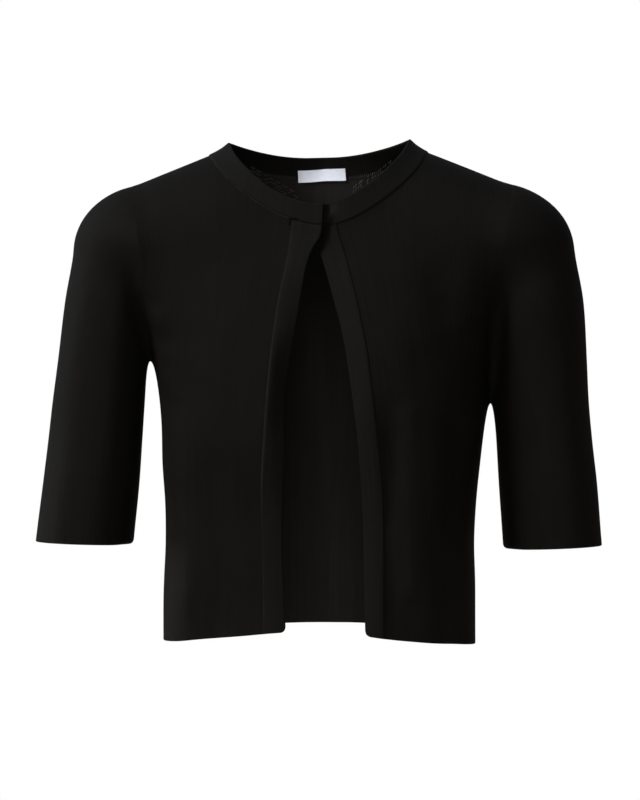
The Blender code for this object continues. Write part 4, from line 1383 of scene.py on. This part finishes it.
# Linking stitches on the neckband's seam, outside and inside, and along the bands
fronts = [front_neck(name)[1] for name in ("right", "left")]
neck_line = neck_ring(np.concatenate([fronts[0], BACK_TURNS[1:-1], fronts[1][::-1] - 360.0]), 1)
paths, normals = stitch_paths(neck_line, NECK_OUTSIDE, OUTSIDE_DEPTH)
sunk = SUNK * smooth_step(paths[:, 2, 0] / SUNK_FADE) * smooth_step(-paths[:, 2, 1] / SUNK_FADE)
paths = paths - sunk[:, None, None] * normals
placed(thread_piece("neck_linking_outside", paths, normals, THREAD, thread))
paths, normals = stitch_paths(neck_line, NECK_INSIDE, PANEL_WALL + INSIDE_BELOW)
shown = (paths[:, 2, 1] <= 0) | (np.abs(paths[:, 2, 0] - LABEL_ACROSS) >= LABEL_LENGTH / 2 + LABEL_MARGIN)
placed(thread_piece("neck_linking_inside", paths[shown], normals[shown], THREAD, thread))
for name in ("right", "left"):
    stitches = stitch_paths(seams[name][1:-1], BAND_LINKING, BAND_STITCH_DEPTHS[name])
    placed(thread_piece(f"band_linking_{name}", *stitches, THREAD, thread))

# Two bar tacks where the right band's seam meets the neckband. Their thread is darker and duller than the
# knit, partly black thread and partly painted shade of the small gap there.
for number, (start, end, lift) in enumerate(BAR_TACKS):
    line = level_line(np.linspace(start, end, TACK_POINTS), FRONT)
    normals = outward(line)
    sides = unit(np.cross(np.gradient(line, axis=0), normals))
    lift = lift + crease_height(line) + worn_lift(line, True)
    paths = (line + lift[:, None] * normals)[None] + TACK_PITCH * TACK_THREADS * sides
    normals = np.broadcast_to(normals, paths.shape)
    placed(thread_piece(f"bar_tack_{number}", paths, normals, THREAD, shade_dark_tack_thread))

# Loose rows of linking loops below the inside of the back neck, of which an uneven choice shows
for row, drop in enumerate(LOOP_DROPS):
    for name, points in NECK_LOOPS.items():
        line = level_line([(x, z - drop) for x, z in points], -FRONT)
        stitch = (LOOPS[0] + LOOP_PITCH_RISE * row, *LOOPS[1:])
        paths, normals = stitch_paths(line, stitch, PANEL_WALL + LOOPS_BELOW)
        number = np.arange(len(paths))
        shown = np.sin(number * 2.1 + row * 1.7) + 0.6 * np.sin(number * 0.83) > -0.25
        paths, normals = paths[shown], normals[shown]
        placed(thread_piece(f"neck_loops_{name}_{row}", paths, normals, LOOP_THREAD, light_thread))

# The label, with a row of stitches at each end
piece, label_face = label_cloth()
finish_piece(piece, "label")
pitch, reach, height = LABEL_STITCH
for name, column in (("right", 2), ("left", -3)):
    at, places = along_curve(label_face[1:-1, column], pitch)
    middle = places(at)[:, None]
    normals = np.repeat(outward(middle), len(BOW), axis=1)
    paths = middle + BOW * reach * UPWARD - height * (1 - BOW**2) * normals
    placed(thread_piece(f"label_stitches_{name}", paths, normals, LABEL_THREAD, white_thread))
for node in ("press_stud_ball", "press_stud_socket"):
    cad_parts[node].data.materials.clear()
    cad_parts[node].data.materials.append(lacquer)


# Studio
FLOOR_HEIGHT = -1.25
FLOOR_REACH = 1.6
SKY = (0.25, 0.27, 0.30)
GROUND = (0.16, 0.10, 0.06)
WHITE = (1.0, 1.0, 1.0)

turns = np.linspace(0, 2 * np.pi, 96, endpoint=False)
corners = np.stack([FLOOR_REACH * np.cos(turns), FLOOR_REACH * np.sin(turns), 0 * turns], axis=-1)
corners[:, 2] = FLOOR_HEIGHT
matt = Nodes(bpy.data.materials.new("pale_floor")).surface({
    "Base Color": (0.62, 0.57, 0.52, 1.0), "Roughness": 0.9,
})
new_piece("floor", corners, [list(range(len(turns)))], matt)

# Light from all round, warmer from below, which the camera sees as white
studio = Nodes(bpy.data.worlds.new("studio"), "Background")
level = studio.parts(studio.new("ShaderNodeTexCoord", {})["Generated"])["Z"]
rising = studio.new("ShaderNodeMapRange", {"Value": level, "From Min": -0.5, "From Max": 0.5})["Result"]
to_camera = studio.new("ShaderNodeLightPath", {})["Is Camera Ray"]
bpy.context.scene.world = studio.surface({
    "Color": studio.color(to_camera, studio.color(rising, GROUND, SKY), WHITE),
})


def sun(name, strength, angle, turn, rise, rgb):
    """A soft distant light: turn is from the front towards the wearer's left, rise above the horizon."""
    light = bpy.data.lights.new(name, "SUN")
    light.energy = strength
    light.angle = np.radians(angle)
    light.color = rgb
    add_item(name, light).rotation_euler = (np.radians(90 - rise), 0.0, np.radians(turn))


sun("key", 5.6, 22.0, -66.0, 40.0, (0.93, 0.97, 1.0))
sun("rim", 0.7, 25.0, -120.0, 5.0, (0.91, 0.97, 1.0))
sun("front", 1.6, 25.0, -4.0, 5.0, (1.0, 1.0, 1.0))

camera_data = bpy.data.cameras.new("camera")
camera_data.lens = 149.1
camera_data.sensor_width = 36.0
camera = add_item("camera", camera_data)
camera.location = (-0.0006, -3.3, -0.2544)
camera.rotation_euler = (np.radians(90.0), 0.0, 0.0)
bpy.context.scene.camera = camera
bpy.context.scene.view_settings.view_transform = "Standard"
